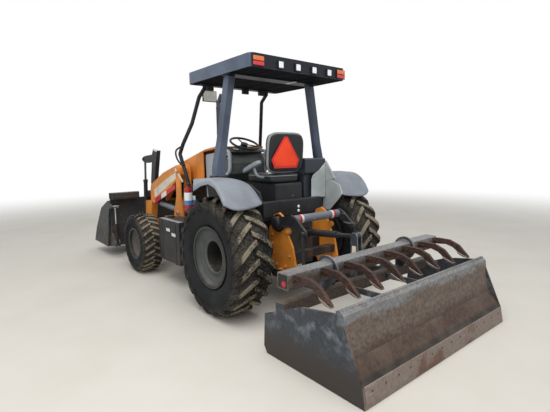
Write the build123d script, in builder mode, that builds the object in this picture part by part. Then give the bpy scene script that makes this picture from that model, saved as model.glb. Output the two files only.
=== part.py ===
from build123d import *
import os
from math import atan2, cos, degrees, radians, sin

os.makedirs("parts", exist_ok=True)

# Tractor loader with a clam bucket in front and a box scraper behind.
# Sizes in millimetres. +X is the machine's right, +Y its front, +Z up, and the floor is Z = 0.
# The origin is under the middle of the whole machine, and every y below is measured from the rear axle.

# Overall reach and the rear axle's place
REAR_REACH = 2030
FRONT_REACH = 4050
REAR_AXLE_Y = (REAR_REACH - FRONT_REACH) / 2
WHEELBASE = 2125

# Fits
SEAT = 0.3
PIN_GAP = 0.3
RUN = 8.0

# Wheels
REAR_TYRE_R = 620
REAR_TYRE_W = 445
REAR_RIM_R = 305
REAR_WHEEL_X = 840
FRONT_TYRE_R = 415
FRONT_TYRE_W = 310
FRONT_RIM_R = 210
FRONT_WHEEL_X = 885
RIM_WALL = 10

# Front axle and steering
KINGPIN_X = 620
KINGPIN_R = 28
AXLE_Z = 480
AXLE_R = 54
STEER_Z = 452
SHAFT_Z = 380
STEER_ARM = 150
STEER_ROD_R = 14

# Frame
RAIL_X = 215
RAIL_W = 40
RAIL_Z = 560
RAIL_H = 150
FRAME_FRONT = 2400

# Loader arm, its plane and its pins
ARM_X = 510
ARM_W = 100
ARM_PLATE = 12
BOOM_PIN = (1530, 1460)
BUCKET_PIN = (2740, 300)
TILT_PIN_TOP = (2840, 1610)
TILT_PIN_LOW = (2933, 530)
LIFT_PIN_LOW = (1560, 880)
LIFT_PIN_TOP = (2430, 950)
LIFT_BARREL_R = 38
LIFT_ROD_R = 20
TILT_BARREL_R = 32
TILT_ROD_R = 17

# Clam bucket
BUCKET_W = 2080
BUCKET_BOTTOM = 170
BUCKET_BACK = 3150
BUCKET_PLATE = 15
CLAM_PIN = (3150, 900)
CLAM_EYE = (3040, 860)
CLAM_BASE = (3050, 240)
CLAM_ROD_X = 965
CLAM_SIDE_X = 1012
CLAM_PLATE = 25
EAR_GAP = 19
TUBE_GAP = 75

# Hitch and box scraper
HITCH_X = 330
HITCH_PLATE = 25
ROCK_PIN = (-300, 935)
ROCK_TUBE = (-530, 994)
ROCK_EYE = (-722, 878)
LINK_PIN = (-330, 430)
BOX_PIN = (-1080, 430)
TOP_PIN = (-345, 800)
MAST_PIN = (-1080, 860)
LIFT_LINK_LOW = (-745, 430)
LINK_X = 430
MAST_GAP = 24
BOX_W = 2134
BOX_PLATE = 16
RIPPER_PIN = (-1237, 682)
RIPPER_TUBE = 130
COLLAR_R = 94
CARRIER_X = 574
CARRIER_T = 22
SHANK_X = (136, 430, 718, 1014)

# Body
HOOD_X = 370
HOOD_WALL = 12
HOOD_PIN = (860, 1750)
PLATFORM_Z = 950
FENDER_IN = 609
FENDER_OUT = 1062
FENDER_TOP = 1425
FENDER_SKIN = 18
ROOF_X = 680
ROOF_TOP = 2630
POST_W = 95


def side(x):
    """Plane across the machine at x, drawn as y from the rear axle and z."""
    return Plane((x, REAR_AXLE_Y, 0), x_dir=(0, 1, 0), z_dir=(1, 0, 0))


def level(z):
    """Plane at height z, drawn as x and y from the rear axle."""
    return Plane((0, REAR_AXLE_Y, z))


def facing_rear(y):
    """Upright plane at y, drawn as x and z, whose normal points to the rear."""
    return Plane((0, REAR_AXLE_Y + y, 0), x_dir=(1, 0, 0), z_dir=(0, -1, 0))


def at(x, y, z):
    """A point whose y is measured from the rear axle."""
    return Vector(x, REAR_AXLE_Y + y, z)


def slab(points, x_near, x_far, round_off=0.0):
    """Plate of the side outline points, from x_near to x_far of the centre, with its corners rounded."""
    with BuildSketch(side(min(x_near, x_far))) as profile:
        with BuildLine():
            Polyline(*points, close=True)
        make_face()
        if round_off:
            fillet(profile.vertices(), round_off)
    extrude(profile.sketch, amount=abs(x_far - x_near))


def twin_slab(points, inner, outer, round_off=0.0):
    """The same plate on both sides of the machine."""
    for sign in (1, -1):
        slab(points, sign * inner, sign * outer, round_off)


def block(x_from, x_to, y_from, y_to, z_from, z_to, edge=0.0):
    """Upright block between six limits, its long edges eased."""
    with BuildSketch(side(x_from)) as profile:
        with BuildLine():
            Polyline((y_from, z_from), (y_to, z_from), (y_to, z_to), (y_from, z_to), close=True)
        make_face()
        if edge:
            fillet(profile.vertices(), edge)
    extrude(profile.sketch, amount=x_to - x_from)


def twin_block(x_in, x_out, *limits, edge=0.0):
    """The same block on both sides of the machine."""
    block(x_in, x_out, *limits, edge=edge)
    block(-x_out, -x_in, *limits, edge=edge)


def bar(start, end, radius, mode=Mode.ADD):
    """Round bar between two points."""
    with BuildSketch(Plane(start, z_dir=end - start)) as section:
        Circle(radius)
    extrude(section.sketch, amount=(end - start).length, mode=mode)


def boss(pin, x_from, x_to, radius, mode=Mode.ADD):
    """Round boss on a cross pin, from x_from to x_to."""
    bar(at(min(x_from, x_to), *pin), at(max(x_from, x_to), *pin), radius, mode)


def finish(part, label):
    """Name the piece and write it."""
    part.label = label
    export_step(part, f"parts/{label}.step")


def between(pin, aim, distance):
    """The point at a distance from one pin towards another."""
    angle = atan2(aim[1] - pin[1], aim[0] - pin[0])
    return (pin[0] + distance * cos(angle), pin[1] + distance * sin(angle))


# Engine, radiator, gear case and rear axle
with BuildPart() as engine:
    block(-190, 190, 1200, 1950, 620, 1230, edge=40)
finish(engine.part, "engine_block")

with BuildPart() as radiator:
    block(-270, 270, 2150, 2240, RAIL_Z + RAIL_H + SEAT, 1270, edge=10)
finish(radiator.part, "radiator")

with BuildPart() as gear_case:
    slab([(-300, 430), (500, 400), (1200, 560), (1200, 900), (-300, 900)], -170, 170)
    for sign in (1, -1):
        bar(at(sign * 150, 0, REAR_TYRE_R), at(sign * 520, 0, REAR_TYRE_R), 120)
        bar(at(sign * 519, 0, REAR_TYRE_R), at(sign * 706.5, 0, REAR_TYRE_R), 150)
    bar(at(0, 400, SHAFT_Z), at(0, 2046, SHAFT_Z), 28)
    block(-60, 60, 380, 480, SHAFT_Z - 50, 430, edge=20)
finish(gear_case.part, "transmission")

# Front frame: two rails, the bolster over the axle and the front plate
with BuildPart() as frame:
    twin_block(RAIL_X, RAIL_X + RAIL_W, 700, FRAME_FRONT, RAIL_Z, RAIL_Z + RAIL_H)
    block(-RAIL_X, RAIL_X, 1990, FRAME_FRONT, RAIL_Z, RAIL_Z + RAIL_H - 30)
    block(-300, 300, FRAME_FRONT - 1, FRAME_FRONT + 25, 470, RAIL_Z + RAIL_H)
    for y in (2020, 2208):
        block(-95, 95, y, y + 22, 410, RAIL_Z + 1)
    twin_block(170, RAIL_X + 1, 720, 800, 620, 700)
finish(frame.part, "front_frame")

# Front axle: beam, centre housing, king pin bosses and the fixed steering cylinder
with BuildPart() as front_axle:
    bar(at(-KINGPIN_X, WHEELBASE, AXLE_Z), at(KINGPIN_X, WHEELBASE, AXLE_Z), AXLE_R)
    block(-90, 90, 2046, 2204, SHAFT_Z - 45, RAIL_Z - 10, edge=20)
    for sign in (1, -1):
        bar(at(sign * KINGPIN_X, WHEELBASE, 425), at(sign * KINGPIN_X, WHEELBASE, 545), 66)
    steer_y = WHEELBASE - STEER_ARM
    bar(at(-210, steer_y, STEER_Z), at(210, steer_y, STEER_Z), STEER_ROD_R + 20)
    for x in (-150, 150):
        block(x - 12, x + 12, steer_y, WHEELBASE, STEER_Z - 14, STEER_Z + 18)
    bar(
        at(-211, steer_y, STEER_Z), at(211, steer_y, STEER_Z), STEER_ROD_R + 0.05, Mode.SUBTRACT
    )
    for sign in (1, -1):
        bar(
            at(sign * KINGPIN_X, WHEELBASE, 400), at(sign * KINGPIN_X, WHEELBASE, 560),
            KINGPIN_R + 0.05, Mode.SUBTRACT,
        )
finish(front_axle.part, "front_axle")

# Steering rod, which slides through the cylinder and ends over the two arms
with BuildPart() as steering_rod:
    reach = KINGPIN_X - 20
    bar(at(-reach, steer_y, STEER_Z), at(reach, steer_y, STEER_Z), STEER_ROD_R)
    for sign in (1, -1):
        bar(at(sign * reach, steer_y, 421), at(sign * reach, steer_y, STEER_Z + 18), 24)
finish(steering_rod.part, "steering_rod")

# Knuckles: king pin, gear housing beside the wheel and the arm behind
for sign, name in ((-1, "left"), (1, "right")):
    with BuildPart() as knuckle:
        x_pin = sign * KINGPIN_X
        bar(at(x_pin, WHEELBASE, 290), at(x_pin, WHEELBASE, 425 - PIN_GAP), 66)
        bar(at(x_pin, WHEELBASE, 400), at(x_pin, WHEELBASE, 560), KINGPIN_R)
        bar(at(x_pin, WHEELBASE, 545 + PIN_GAP), at(x_pin, WHEELBASE, 570), 50)
        bar(at(x_pin, WHEELBASE, 350), at(sign * 790, WHEELBASE, 350), 40)
        bar(at(sign * 740, WHEELBASE, FRONT_TYRE_R), at(sign * 826.5, WHEELBASE, FRONT_TYRE_R), 110)
        with BuildSketch(level(396)) as arm:
            with BuildLine():
                Polyline(
                    (x_pin - sign * 45, WHEELBASE - STEER_ARM - 22),
                    (x_pin + sign * 5, WHEELBASE - STEER_ARM - 22),
                    (x_pin + sign * 40, WHEELBASE),
                    (x_pin - sign * 40, WHEELBASE),
                    close=True,
                )
            make_face()
        extrude(arm.sketch, amount=24)
    finish(knuckle.part, f"{name}_knuckle")


def wheel_profile(centre_x, y, hub_z, points):
    """Ring turned about a wheel's axle, of points given as distance from its middle and radius."""
    plane = Plane((centre_x, REAR_AXLE_Y + y, hub_z), x_dir=(1, 0, 0), z_dir=(0, -1, 0))
    with BuildSketch(plane) as profile:
        with BuildLine():
            Polyline(*points, close=True)
        make_face()
    revolve(profile.sketch, Axis((centre_x, REAR_AXLE_Y + y, hub_z), (1, 0, 0)), 360)


# Tyres and rims, from a table of name, side, axle y, wheel middle x, tyre radius, width,
# rim radius, and the disc's distance outwards from the wheel's middle
WHEELS = (
    ("rear_left", -1, 0, REAR_WHEEL_X, REAR_TYRE_R, REAR_TYRE_W, REAR_RIM_R, -125),
    ("rear_right", 1, 0, REAR_WHEEL_X, REAR_TYRE_R, REAR_TYRE_W, REAR_RIM_R, -125),
    ("front_left", -1, WHEELBASE, FRONT_WHEEL_X, FRONT_TYRE_R, FRONT_TYRE_W, FRONT_RIM_R, -50),
    ("front_right", 1, WHEELBASE, FRONT_WHEEL_X, FRONT_TYRE_R, FRONT_TYRE_W, FRONT_RIM_R, -50),
)
for name, sign, y, wheel_x, tyre_r, tyre_w, rim_r, disc_x in WHEELS:
    bead = tyre_w * 0.38
    half = tyre_w / 2
    with BuildPart() as tyre:
        wheel_profile(sign * wheel_x, y, tyre_r, [
            (-bead, rim_r + SEAT), (bead, rim_r + SEAT), (bead, rim_r + 19),
            (half, rim_r + 0.4 * (tyre_r - rim_r)),
            (half, tyre_r - 0.14 * tyre_w), (0.8 * half, tyre_r), (-0.8 * half, tyre_r),
            (-half, tyre_r - 0.14 * tyre_w), (-half, rim_r + 0.4 * (tyre_r - rim_r)),
            (-bead, rim_r + 19),
        ])
    finish(tyre.part, f"{name}_tyre")
    with BuildPart() as rim:
        lip = bead + 14
        disc = sign * disc_x
        wheel_profile(sign * wheel_x, y, tyre_r, [
            (-lip, rim_r - RIM_WALL), (-lip, rim_r + 18), (-bead - SEAT, rim_r + 18),
            (-bead - SEAT, rim_r), (bead + SEAT, rim_r), (bead + SEAT, rim_r + 18),
            (lip, rim_r + 18), (lip, rim_r - RIM_WALL),
        ])
        wheel_profile(sign * wheel_x, y, tyre_r, [
            (disc - 8, 0), (disc + 8, 0), (disc + 8, rim_r - RIM_WALL + 1),
            (disc - 8, rim_r - RIM_WALL + 1),
        ])
        hub_in = sign * disc_x - sign * 8
        wheel_profile(sign * wheel_x, y, tyre_r, [
            (hub_in, 0), (hub_in, rim_r * 0.45), (hub_in + sign * 60, rim_r * 0.38),
            (hub_in + sign * 70, rim_r * 0.2), (hub_in + sign * 70, 0),
        ])
    finish(rim.part, f"{name}_rim")

# Loader towers: two cheeks on each side, joined to the rails by boxes, with the lower pin's ears
TOWER_IN = ARM_X - ARM_W / 2 - RUN
TOWER_OUT = ARM_X + ARM_W / 2 + RUN
TOWER_PLATE = 18
with BuildPart() as towers:
    inner = [
        (1360, 640), (1760, 640), (1740, 860), (1640, 1120), (1612, 1460), (1590, 1520),
        (1530, 1545), (1470, 1520), (1448, 1460), (1420, 1120), (1380, 860),
    ]
    outer = [
        (1400, 640), (1700, 640), (1690, 860), (1600, 1100), (1590, 1460), (1572, 1502),
        (1530, 1520), (1488, 1502), (1470, 1460), (1460, 1100), (1420, 860),
    ]
    twin_slab(inner, TOWER_IN - TOWER_PLATE, TOWER_IN)
    twin_slab(outer, TOWER_OUT, TOWER_OUT + TOWER_PLATE)
    twin_block(RAIL_X + RAIL_W, TOWER_OUT + 1, 1420, 1680, 640, 760)
    twin_block(TOWER_IN - 60, TOWER_IN - TOWER_PLATE + 1, 1370, 2360, 650, 730)
    twin_block(RAIL_X + RAIL_W, TOWER_IN - 59, 2250, 2340, 650, 730)
    for sign in (1, -1):
        boss(BOOM_PIN, sign * TOWER_OUT, sign * (TOWER_OUT + 34), 45)
        boss(LIFT_PIN_LOW, sign * TOWER_OUT, sign * (TOWER_OUT + 30), 34)
finish(towers.part, "loader_towers")

# Loader boom: two banana-shaped arms, open feet and the cross tube between them
LUG_IN = ARM_X - ARM_W / 2
LUG_OUT = ARM_X + ARM_W / 2
ARM_OUTLINE = [
    (1478, 1410), (2029, 1098), (2380, 1012), (2500, 985), (2560, 975), (2560, 1150),
    (2535, 1215), (2060, 1412), (1620, 1527), (1545, 1530), (1475, 1490),
]
CHEEK_OUTLINE = [
    (2470, 993), (2530, 935), (2595, 690), (2665, 440), (2680, 300), (2700, 250), (2740, 232),
    (2785, 250), (2806, 300), (2808, 695), (2773, 950), (2545, 975),
]
INNER_OUTLINE = [
    (2470, 993), (2530, 935), (2595, 690), (2665, 440), (2680, 300), (2700, 250), (2740, 232),
    (2785, 250), (2806, 300), (2808, 695), (2773, 950), (2640, 1100), (2535, 1214),
]
WEB_OUTLINE = [
    (2470, 993), (2530, 935), (2595, 690), (2665, 440), (2683, 446), (2613, 690), (2545, 976),
]
LIFT_LUG = [(2384, 1013), (2390, 935), (2430, 915), (2470, 935), (2490, 990)]
with BuildPart() as boom:
    twin_slab(ARM_OUTLINE, LUG_IN, LUG_OUT)
    twin_slab(CHEEK_OUTLINE, LUG_OUT - ARM_PLATE, LUG_OUT)
    twin_slab(INNER_OUTLINE, LUG_IN, LUG_IN + ARM_PLATE)
    twin_slab(WEB_OUTLINE, LUG_IN, LUG_OUT)
    twin_slab(LIFT_LUG, LUG_IN, LUG_IN + 22)
    twin_slab(LIFT_LUG, LUG_OUT - 22, LUG_OUT)
    bar(at(-LUG_IN - 5, 2680, 600), at(LUG_IN + 5, 2680, 600), 55)
    for sign in (1, -1):
        boss(BOOM_PIN, sign * (TOWER_IN + PIN_GAP), sign * (TOWER_OUT - PIN_GAP), 55)
        boss(BUCKET_PIN, sign * LUG_OUT, sign * (LUG_OUT + 18), 40)
        boss(BUCKET_PIN, sign * (LUG_IN - 14), sign * LUG_IN, 40)
        boss(LIFT_PIN_TOP, sign * (LUG_OUT - 1), sign * (LUG_OUT + 14), 28)
finish(boom.part, "boom")

# Upright brackets on the elbows, each with a forward arm for the tilt cylinder's top pin
HORN_W = 60
HORN_OUTLINE = [
    (2440, 1254.4), (2535, 1215), (2580, 1235), (2500, 1580), (2712, 1551), (2745, 1663),
    (2486, 1680), (2430, 1765), (2290, 1738), (2400, 1380),
]
HORN_EAR = [(2712, 1551), (2800, 1558), (2855, 1575), (2878, 1610), (2840, 1648), (2745, 1663)]
with BuildPart() as horns:
    for sign in (1, -1):
        slab(HORN_OUTLINE, sign * (ARM_X - HORN_W / 2), sign * (ARM_X + HORN_W / 2))
        for offset in (-HORN_W / 2, HORN_W / 2 - 10):
            near = ARM_X + offset
            slab(HORN_EAR, sign * near, sign * (near + 10))
        boss(TILT_PIN_TOP, sign * (ARM_X + HORN_W / 2), sign * (ARM_X + HORN_W / 2 + 12), 24)
        boss(TILT_PIN_TOP, sign * (ARM_X - HORN_W / 2 - 12), sign * (ARM_X - HORN_W / 2), 24)
finish(horns.part, "boom_brackets")


def cylinder_barrel(base, tip, x, radius, bore, length, eye_half, eye_r, neck):
    """Hydraulic barrel from its base eye, on both sides, bored for its rod with a closed base."""
    for sign in (1, -1):
        start = between(base, tip, neck)
        end = between(base, tip, length)
        floor = between(base, tip, neck + 12)
        mouth = between(base, tip, length + 1)
        boss(base, sign * (x - eye_half), sign * (x + eye_half), eye_r)
        bar(at(sign * x, *base), at(sign * x, *start), min(eye_half, eye_r) * 0.9)
        bar(at(sign * x, *start), at(sign * x, *end), radius)
        bar(at(sign * x, *floor), at(sign * x, *mouth), bore + 0.05, Mode.SUBTRACT)


def cylinder_rod(base, tip, x, radius, start, eye_half, eye_r):
    """Chrome rod that starts inside its barrel and ends in an eye at the tip, on both sides."""
    for sign in (1, -1):
        bar(at(sign * x, *between(base, tip, start)), at(sign * x, *tip), radius)
        boss(tip, sign * (x - eye_half), sign * (x + eye_half), eye_r)


def span(a, b):
    """Distance between two pins."""
    return ((a[0] - b[0]) ** 2 + (a[1] - b[1]) ** 2) ** 0.5


# Lift cylinders
LIFT_SPAN = span(LIFT_PIN_LOW, LIFT_PIN_TOP)
with BuildPart() as lift_barrels:
    cylinder_barrel(
        LIFT_PIN_LOW, LIFT_PIN_TOP, ARM_X, LIFT_BARREL_R, LIFT_ROD_R, LIFT_SPAN - 118,
        ARM_W / 2 + RUN - PIN_GAP, 40, 45,
    )
finish(lift_barrels.part, "lift_cylinder_barrels")
with BuildPart() as lift_rods:
    cylinder_rod(
        LIFT_PIN_LOW, LIFT_PIN_TOP, ARM_X, LIFT_ROD_R, 110, ARM_W / 2 - 22 - PIN_GAP, 30
    )
finish(lift_rods.part, "lift_cylinder_rods")

# Tilt cylinders, their barrels pinned low on the bucket and their rods up to the brackets
TILT_SPAN = span(TILT_PIN_TOP, TILT_PIN_LOW)
with BuildPart() as tilt_barrels:
    cylinder_barrel(
        TILT_PIN_LOW, TILT_PIN_TOP, ARM_X, TILT_BARREL_R, TILT_ROD_R, TILT_SPAN - 330,
        EAR_GAP - PIN_GAP, 30, 62,
    )
finish(tilt_barrels.part, "tilt_cylinder_barrels")
with BuildPart() as tilt_rods:
    cylinder_rod(
        TILT_PIN_LOW, TILT_PIN_TOP, ARM_X, TILT_ROD_R, 168, HORN_W / 2 - 10 - PIN_GAP, 26
    )
finish(tilt_rods.part, "tilt_cylinder_rods")

# Bucket back: top tube, back wall, end gussets, cutting edge and the ears to the boom
BUCKET_HALF = BUCKET_W / 2
BACK_HALF = CLAM_SIDE_X - RUN
with BuildPart() as bucket:
    for x_from, x_to in (
        (-BUCKET_HALF, -ARM_X - TUBE_GAP), (-ARM_X + TUBE_GAP, ARM_X - TUBE_GAP),
        (ARM_X + TUBE_GAP, BUCKET_HALF),
    ):
        with BuildSketch(side(x_from)) as tube:
            with Locations((3030, 1035)):
                RectangleRounded(100, 100, 12)
                RectangleRounded(84, 84, 6, mode=Mode.SUBTRACT)
        extrude(tube.sketch, amount=x_to - x_from)
        shelf = [(2990, 975), (3165, 975), (3165, 985.5), (2990, 985.5)]
        slab(shelf, max(x_from, -BACK_HALF), min(x_to, BACK_HALF))
    slab(
        [
            (3150, 976), (3150, 620), (3165, 400), (3215, 240), (3290, 172), (3310, 172),
            (3310, 188), (3230, 250), (3180, 400), (3165, 620), (3165, 976),
        ],
        -BACK_HALF, BACK_HALF,
    )
    twin_slab(
        [(3164, 976), (3164, 620), (3179, 400), (3229, 250), (3300, 188), (3290, 560), (3230, 900)],
        BACK_HALF - 20, BACK_HALF,
    )
    for sign in (1, -1):
        for offset in (-EAR_GAP - 14, EAR_GAP):
            near = ARM_X + offset
            slab(
                [
                    (3152, 250), (3152, 720), (2960, 560), (2933, 562), (2905, 548), (2896, 515),
                    (2910, 490), (2720, 335), (2702, 300), (2714, 270), (2740, 260), (2770, 262),
                ],
                sign * near, sign * (near + 14),
            )
        boss(BUCKET_PIN, sign * (ARM_X - EAR_GAP), sign * (ARM_X + EAR_GAP), 30)
        for near in (CLAM_ROD_X - 38, CLAM_ROD_X + 21):
            foot = [(3010, 210), (3090, 205), (3285, 174), (3200, 300), (3160, 420), (3010, 275)]
            slab(foot, sign * near, sign * (near + 17))
        boss(CLAM_PIN, sign * (BACK_HALF - 1), sign * (CLAM_SIDE_X - PIN_GAP), 45)
finish(bucket.part, "bucket_back")

# Clam: side plates with rear ears, curved floor and the front cutting edge
CLAM_OUTLINE = [
    (3100, 905), (3118, 942), (3150, 955), (3200, 945), (3560, 800), (3900, 420), (4050, 185),
    (4050, 170), (3330, 170), (3240, 420), (3190, 700), (3110, 850), (3055, 830), (3025, 838),
    (3010, 862), (3024, 890), (3050, 896),
]
with BuildPart() as clam:
    twin_slab(CLAM_OUTLINE, CLAM_SIDE_X, CLAM_SIDE_X + CLAM_PLATE)
    slab(
        [
            (3330, 170), (4050, 170), (4050, 180), (3960, 190), (3345, 190), (3322, 300),
            (3312, 296), (3320, 230),
        ],
        -CLAM_SIDE_X - 1, CLAM_SIDE_X + 1,
    )
finish(clam.part, "bucket_clam")

CLAM_SPAN = span(CLAM_BASE, CLAM_EYE)
CLAM_EYE_HALF = CLAM_SIDE_X - PIN_GAP - CLAM_ROD_X
with BuildPart() as clam_barrels:
    cylinder_barrel(
        CLAM_BASE, CLAM_EYE, CLAM_ROD_X, 30, 15, CLAM_SPAN - 280, 20, 26, 115,
    )
finish(clam_barrels.part, "clam_cylinder_barrels")
with BuildPart() as clam_rods:
    cylinder_rod(CLAM_BASE, CLAM_EYE, CLAM_ROD_X, 15, 205, CLAM_EYE_HALF, 25)
finish(clam_rods.part, "clam_cylinder_rods")

# Platform between the fenders, with its tunnel, the seat's base and the left foot plate
with BuildPart() as platform:
    block(-FENDER_IN - 40, FENDER_IN + 40, 700, 1190, PLATFORM_Z, PLATFORM_Z + 20)
    block(-FENDER_IN + 20, FENDER_IN - 20, -170, 701, PLATFORM_Z, PLATFORM_Z + 20)
    slab([(-170, 900), (860, 900), (860, 951), (-170, 951)], -240, 240)
    slab([(-95, 969), (420, 969), (360, 1330), (-90, 1330)], -200, 200, 30)
    block(-560, -250, 440, 680, PLATFORM_Z + 19, PLATFORM_Z + 24)
finish(platform.part, "platform")

# Rear crossmember under the seat
with BuildPart() as crossmember:
    block(-440, 440, -180, -100, PLATFORM_Z + 20, 1150, edge=15)
finish(crossmember.part, "rear_crossmember")


def fender(sign):
    """Curved cover over a rear tyre with an inner wall and a rounded rear flap."""
    top = FENDER_TOP
    crown = [
        (690, 1200), (655, 1310), (560, 1388), (320, top), (30, top), (-196, top - 12),
        (-344, top - 75), (-450, 1250), (-505, 1120),
    ]
    under = [
        (-487, 1112), (-434, 1242), (-334, top - 92), (-192, top - 30), (30, top - FENDER_SKIN),
        (320, top - FENDER_SKIN), (552, 1370), (638, 1300), (672, 1195),
    ]
    slab(crown + under, sign * FENDER_IN, sign * FENDER_OUT)
    wall = crown[:-2] + [(-400, 1200), (-300, 1100), (-170, PLATFORM_Z + 20), (640, PLATFORM_Z + 20)]
    slab(wall, sign * (FENDER_IN - 20), sign * FENDER_IN)
    skirt = crown[1:-3] + [(-230, 1290), (200, 1300), (560, 1270)]
    slab(skirt, sign * (FENDER_OUT - 1), sign * (FENDER_OUT + 12))


for sign, name in ((-1, "left_fender"), (1, "right_fender")):
    with BuildPart() as fender_part:
        fender(sign)
        if sign > 0:
            slab(
                [(170, 1130), (90, 1390), (-115, 1577), (-250, 1362), (-60, 1300), (100, 1130)],
                FENDER_IN - 20, FENDER_IN,
            )
    finish(fender_part.part, name)

# Side console beside the seat, and its levers
with BuildPart() as console:
    block(262, FENDER_IN - 20, -60, 560, PLATFORM_Z + 20, 1421, edge=20)
    block(250, FENDER_IN - 20, -100, 500, 1420, 1605, edge=25)
finish(console.part, "side_console")

with BuildPart() as levers:
    for x, y, height in ((330, 420, 170), (420, 440, 120), (500, 440, 120)):
        bar(at(x, y, 1605), at(x, y, 1622), 24)
        bar(at(x, y, 1618), at(x, y + 30, 1605 + height), 9)
        bar(at(x, y + 28, 1600 + height), at(x, y + 36, 1650 + height), 20)
finish(levers.part, "levers")

# Seat
with BuildPart() as seat_cushion:
    block(-255, 205 - 20, -90, 400, 1330 + SEAT, 1450, edge=35)
finish(seat_cushion.part, "seat_cushion")
with BuildPart() as seat_back:
    slab([(-100, 1450 + SEAT), (25, 1450 + SEAT), (-15, 1900), (-105, 1900)], -290, 240, 30)
finish(seat_back.part, "seat_back")
with BuildPart() as triangle:
    with BuildSketch(facing_rear(-120)) as plate:
        with BuildLine():
            Polyline(
                (-275, 1595), (-235, 1505), (90, 1505), (130, 1595), (-40, 1850), (-90, 1850),
                close=True,
            )
        make_face()
    extrude(plate.sketch, amount=5)
    bar(at(-70, -121, 1650), at(-70, -102.7, 1650), 12)
finish(triangle.part, "triangle_sign")

# Cowl, dash and steering column
WHEEL_TILT = 25
STEERING_CENTRE = at(0, 770, 1800)
COLUMN = Vector(0, -sin(radians(WHEEL_TILT)), cos(radians(WHEEL_TILT)))
with BuildPart() as cowl:
    slab([(880, 970), (1190, 970), (1190, 1665), (930, 1690), (880, 1690)], -335, 335, 15)
    slab([(690, 1560), (700, 1420), (881, 1300), (881, 1690), (840, 1700)], -290, 290, 15)
    bar(STEERING_CENTRE - COLUMN * 220, STEERING_CENTRE - COLUMN * 30.3, 34)
    twin_slab([(885, 1689), (925, 1689), (925, 1735), (885, 1739.4)], 280, 320)
finish(cowl.part, "cowl")

with BuildPart() as steering_wheel:
    tilted = Plane(STEERING_CENTRE, x_dir=(1, 0, 0), z_dir=COLUMN)
    ring_plane = Plane(tilted.origin, x_dir=tilted.x_dir, z_dir=tilted.y_dir)
    with BuildSketch(ring_plane) as ring:
        with Locations((185, 0)):
            Circle(14)
    revolve(ring.sketch, Axis(tilted.origin, tilted.z_dir), 360)
    with BuildSketch(tilted.offset(-30)) as hub:
        Circle(45)
    extrude(hub.sketch, amount=35)
    for turn in (90, 210, 330):
        end = tilted.origin + tilted.x_dir.rotate(Axis((0, 0, 0), tilted.z_dir), turn) * 180
        bar(tilted.origin - tilted.z_dir * 10, end, 8)
finish(steering_wheel.part, "steering_wheel")

# Hood with its lifting sides, and the grille with the head lamps
HOOD_OUTLINE = [
    (865, 1768), (1150, 1733), (1720, 1590), (2200, 1440), (2400, 1330), (2440, 1240), (2440, 960),
    (2380, 960), (2050, 1180), (1900, 1310), (1200, 1310), (1200, 1705), (865, 1742),
]
HOOD_HOLLOW = [
    (1100, 1600), (1200, 1710), (1710, 1572), (2190, 1424), (2385, 1318), (2412, 1240), (2412, 900),
    (1100, 900),
]
with BuildPart() as hood:
    slab(HOOD_OUTLINE, -HOOD_X, HOOD_X)
    with BuildSketch(side(-HOOD_X + HOOD_WALL)) as hollow:
        with BuildLine():
            Polyline(*HOOD_HOLLOW, close=True)
        make_face()
    extrude(hollow.sketch, amount=2 * (HOOD_X - HOOD_WALL), mode=Mode.SUBTRACT)
    with BuildSketch(facing_rear(2300)) as mouth:
        with Locations((0, 1110)):
            RectangleRounded(560, 230, 30)
    extrude(mouth.sketch, amount=-200, mode=Mode.SUBTRACT)
finish(hood.part, "hood")
with BuildPart() as grille:
    with BuildSketch(facing_rear(2414)) as face:
        with Locations((0, 1110)):
            RectangleRounded(559, 229, 29.5)
    extrude(face.sketch, amount=-22)
finish(grille.part, "grille")

# Roof frame
REAR_POST = (
    (800, FENDER_TOP + 20), (796, 1475), (722, 1655), (682, 1910), (613, 2286), (577, 2480),
    (577, 2499.7),
)
FRONT_POST = (
    (600, 1100, PLATFORM_Z + 20), (600, 1100, 1000), (620, 1110, 1220), (650, 1300, 1680),
    (624, 1257, 1800), (548, 1133, 2060), (490, 1030, 2378), (480, 905, 2470), (480, 905, 2499.7),
)
with BuildPart() as rear_posts:
    for sign in (1, -1):
        for low, high in zip(REAR_POST[:-1], REAR_POST[1:]):
            bar(at(sign * low[0], 180, low[1]), at(sign * high[0], 180, high[1]), POST_W / 2)
        x_foot = sorted((sign * 735, sign * 865))
        block(*x_foot, 110, 250, FENDER_TOP, FENDER_TOP + 25)
finish(rear_posts.part, "roof_posts_rear")
with BuildPart() as front_posts:
    for sign in (1, -1):
        for low, high in zip(FRONT_POST[:-1], FRONT_POST[1:]):
            bar(at(sign * low[0], *low[1:]), at(sign * high[0], *high[1:]), 24)
finish(front_posts.part, "roof_posts_front")
with BuildPart() as roof:
    with BuildSketch(level(2500)) as canopy:
        with Locations((0, 310)):
            RectangleRounded(2 * ROOF_X, 1280, 60)
    extrude(canopy.sketch, amount=ROOF_TOP - 2500)
    with BuildSketch(level(2499)) as underside:
        with Locations((0, 310)):
            RectangleRounded(2 * ROOF_X - 20, 1260, 50)
    extrude(underside.sketch, amount=ROOF_TOP - 2507, mode=Mode.SUBTRACT)
    block(-640, 640, 100, 260, 2500, ROOF_TOP - 7)
    block(-560, 560, 850, 935, 2500, ROOF_TOP - 7)
finish(roof.part, "roof")
with BuildPart() as mirror:
    block(-400, -200, 1090, 1110, 2340, 2480, edge=5)
    bar(at(-300, 1100, 2470), at(-300, 1100, 2550), 10)
    bar(at(-300, 1110, 2540), at(-300, 950, 2540), 10)
finish(mirror.part, "mirror")

# Exhaust stack beside the hood
with BuildPart() as exhaust:
    bar(at(418, 2060, 1000), at(418, 2060, 2480), 34)
    bar(at(418, 2060, 2470), at(440, 1990, 2600), 34)
    block(190, 452, 1850, 2100, 960, 1010)
finish(exhaust.part, "exhaust_stack")

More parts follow.
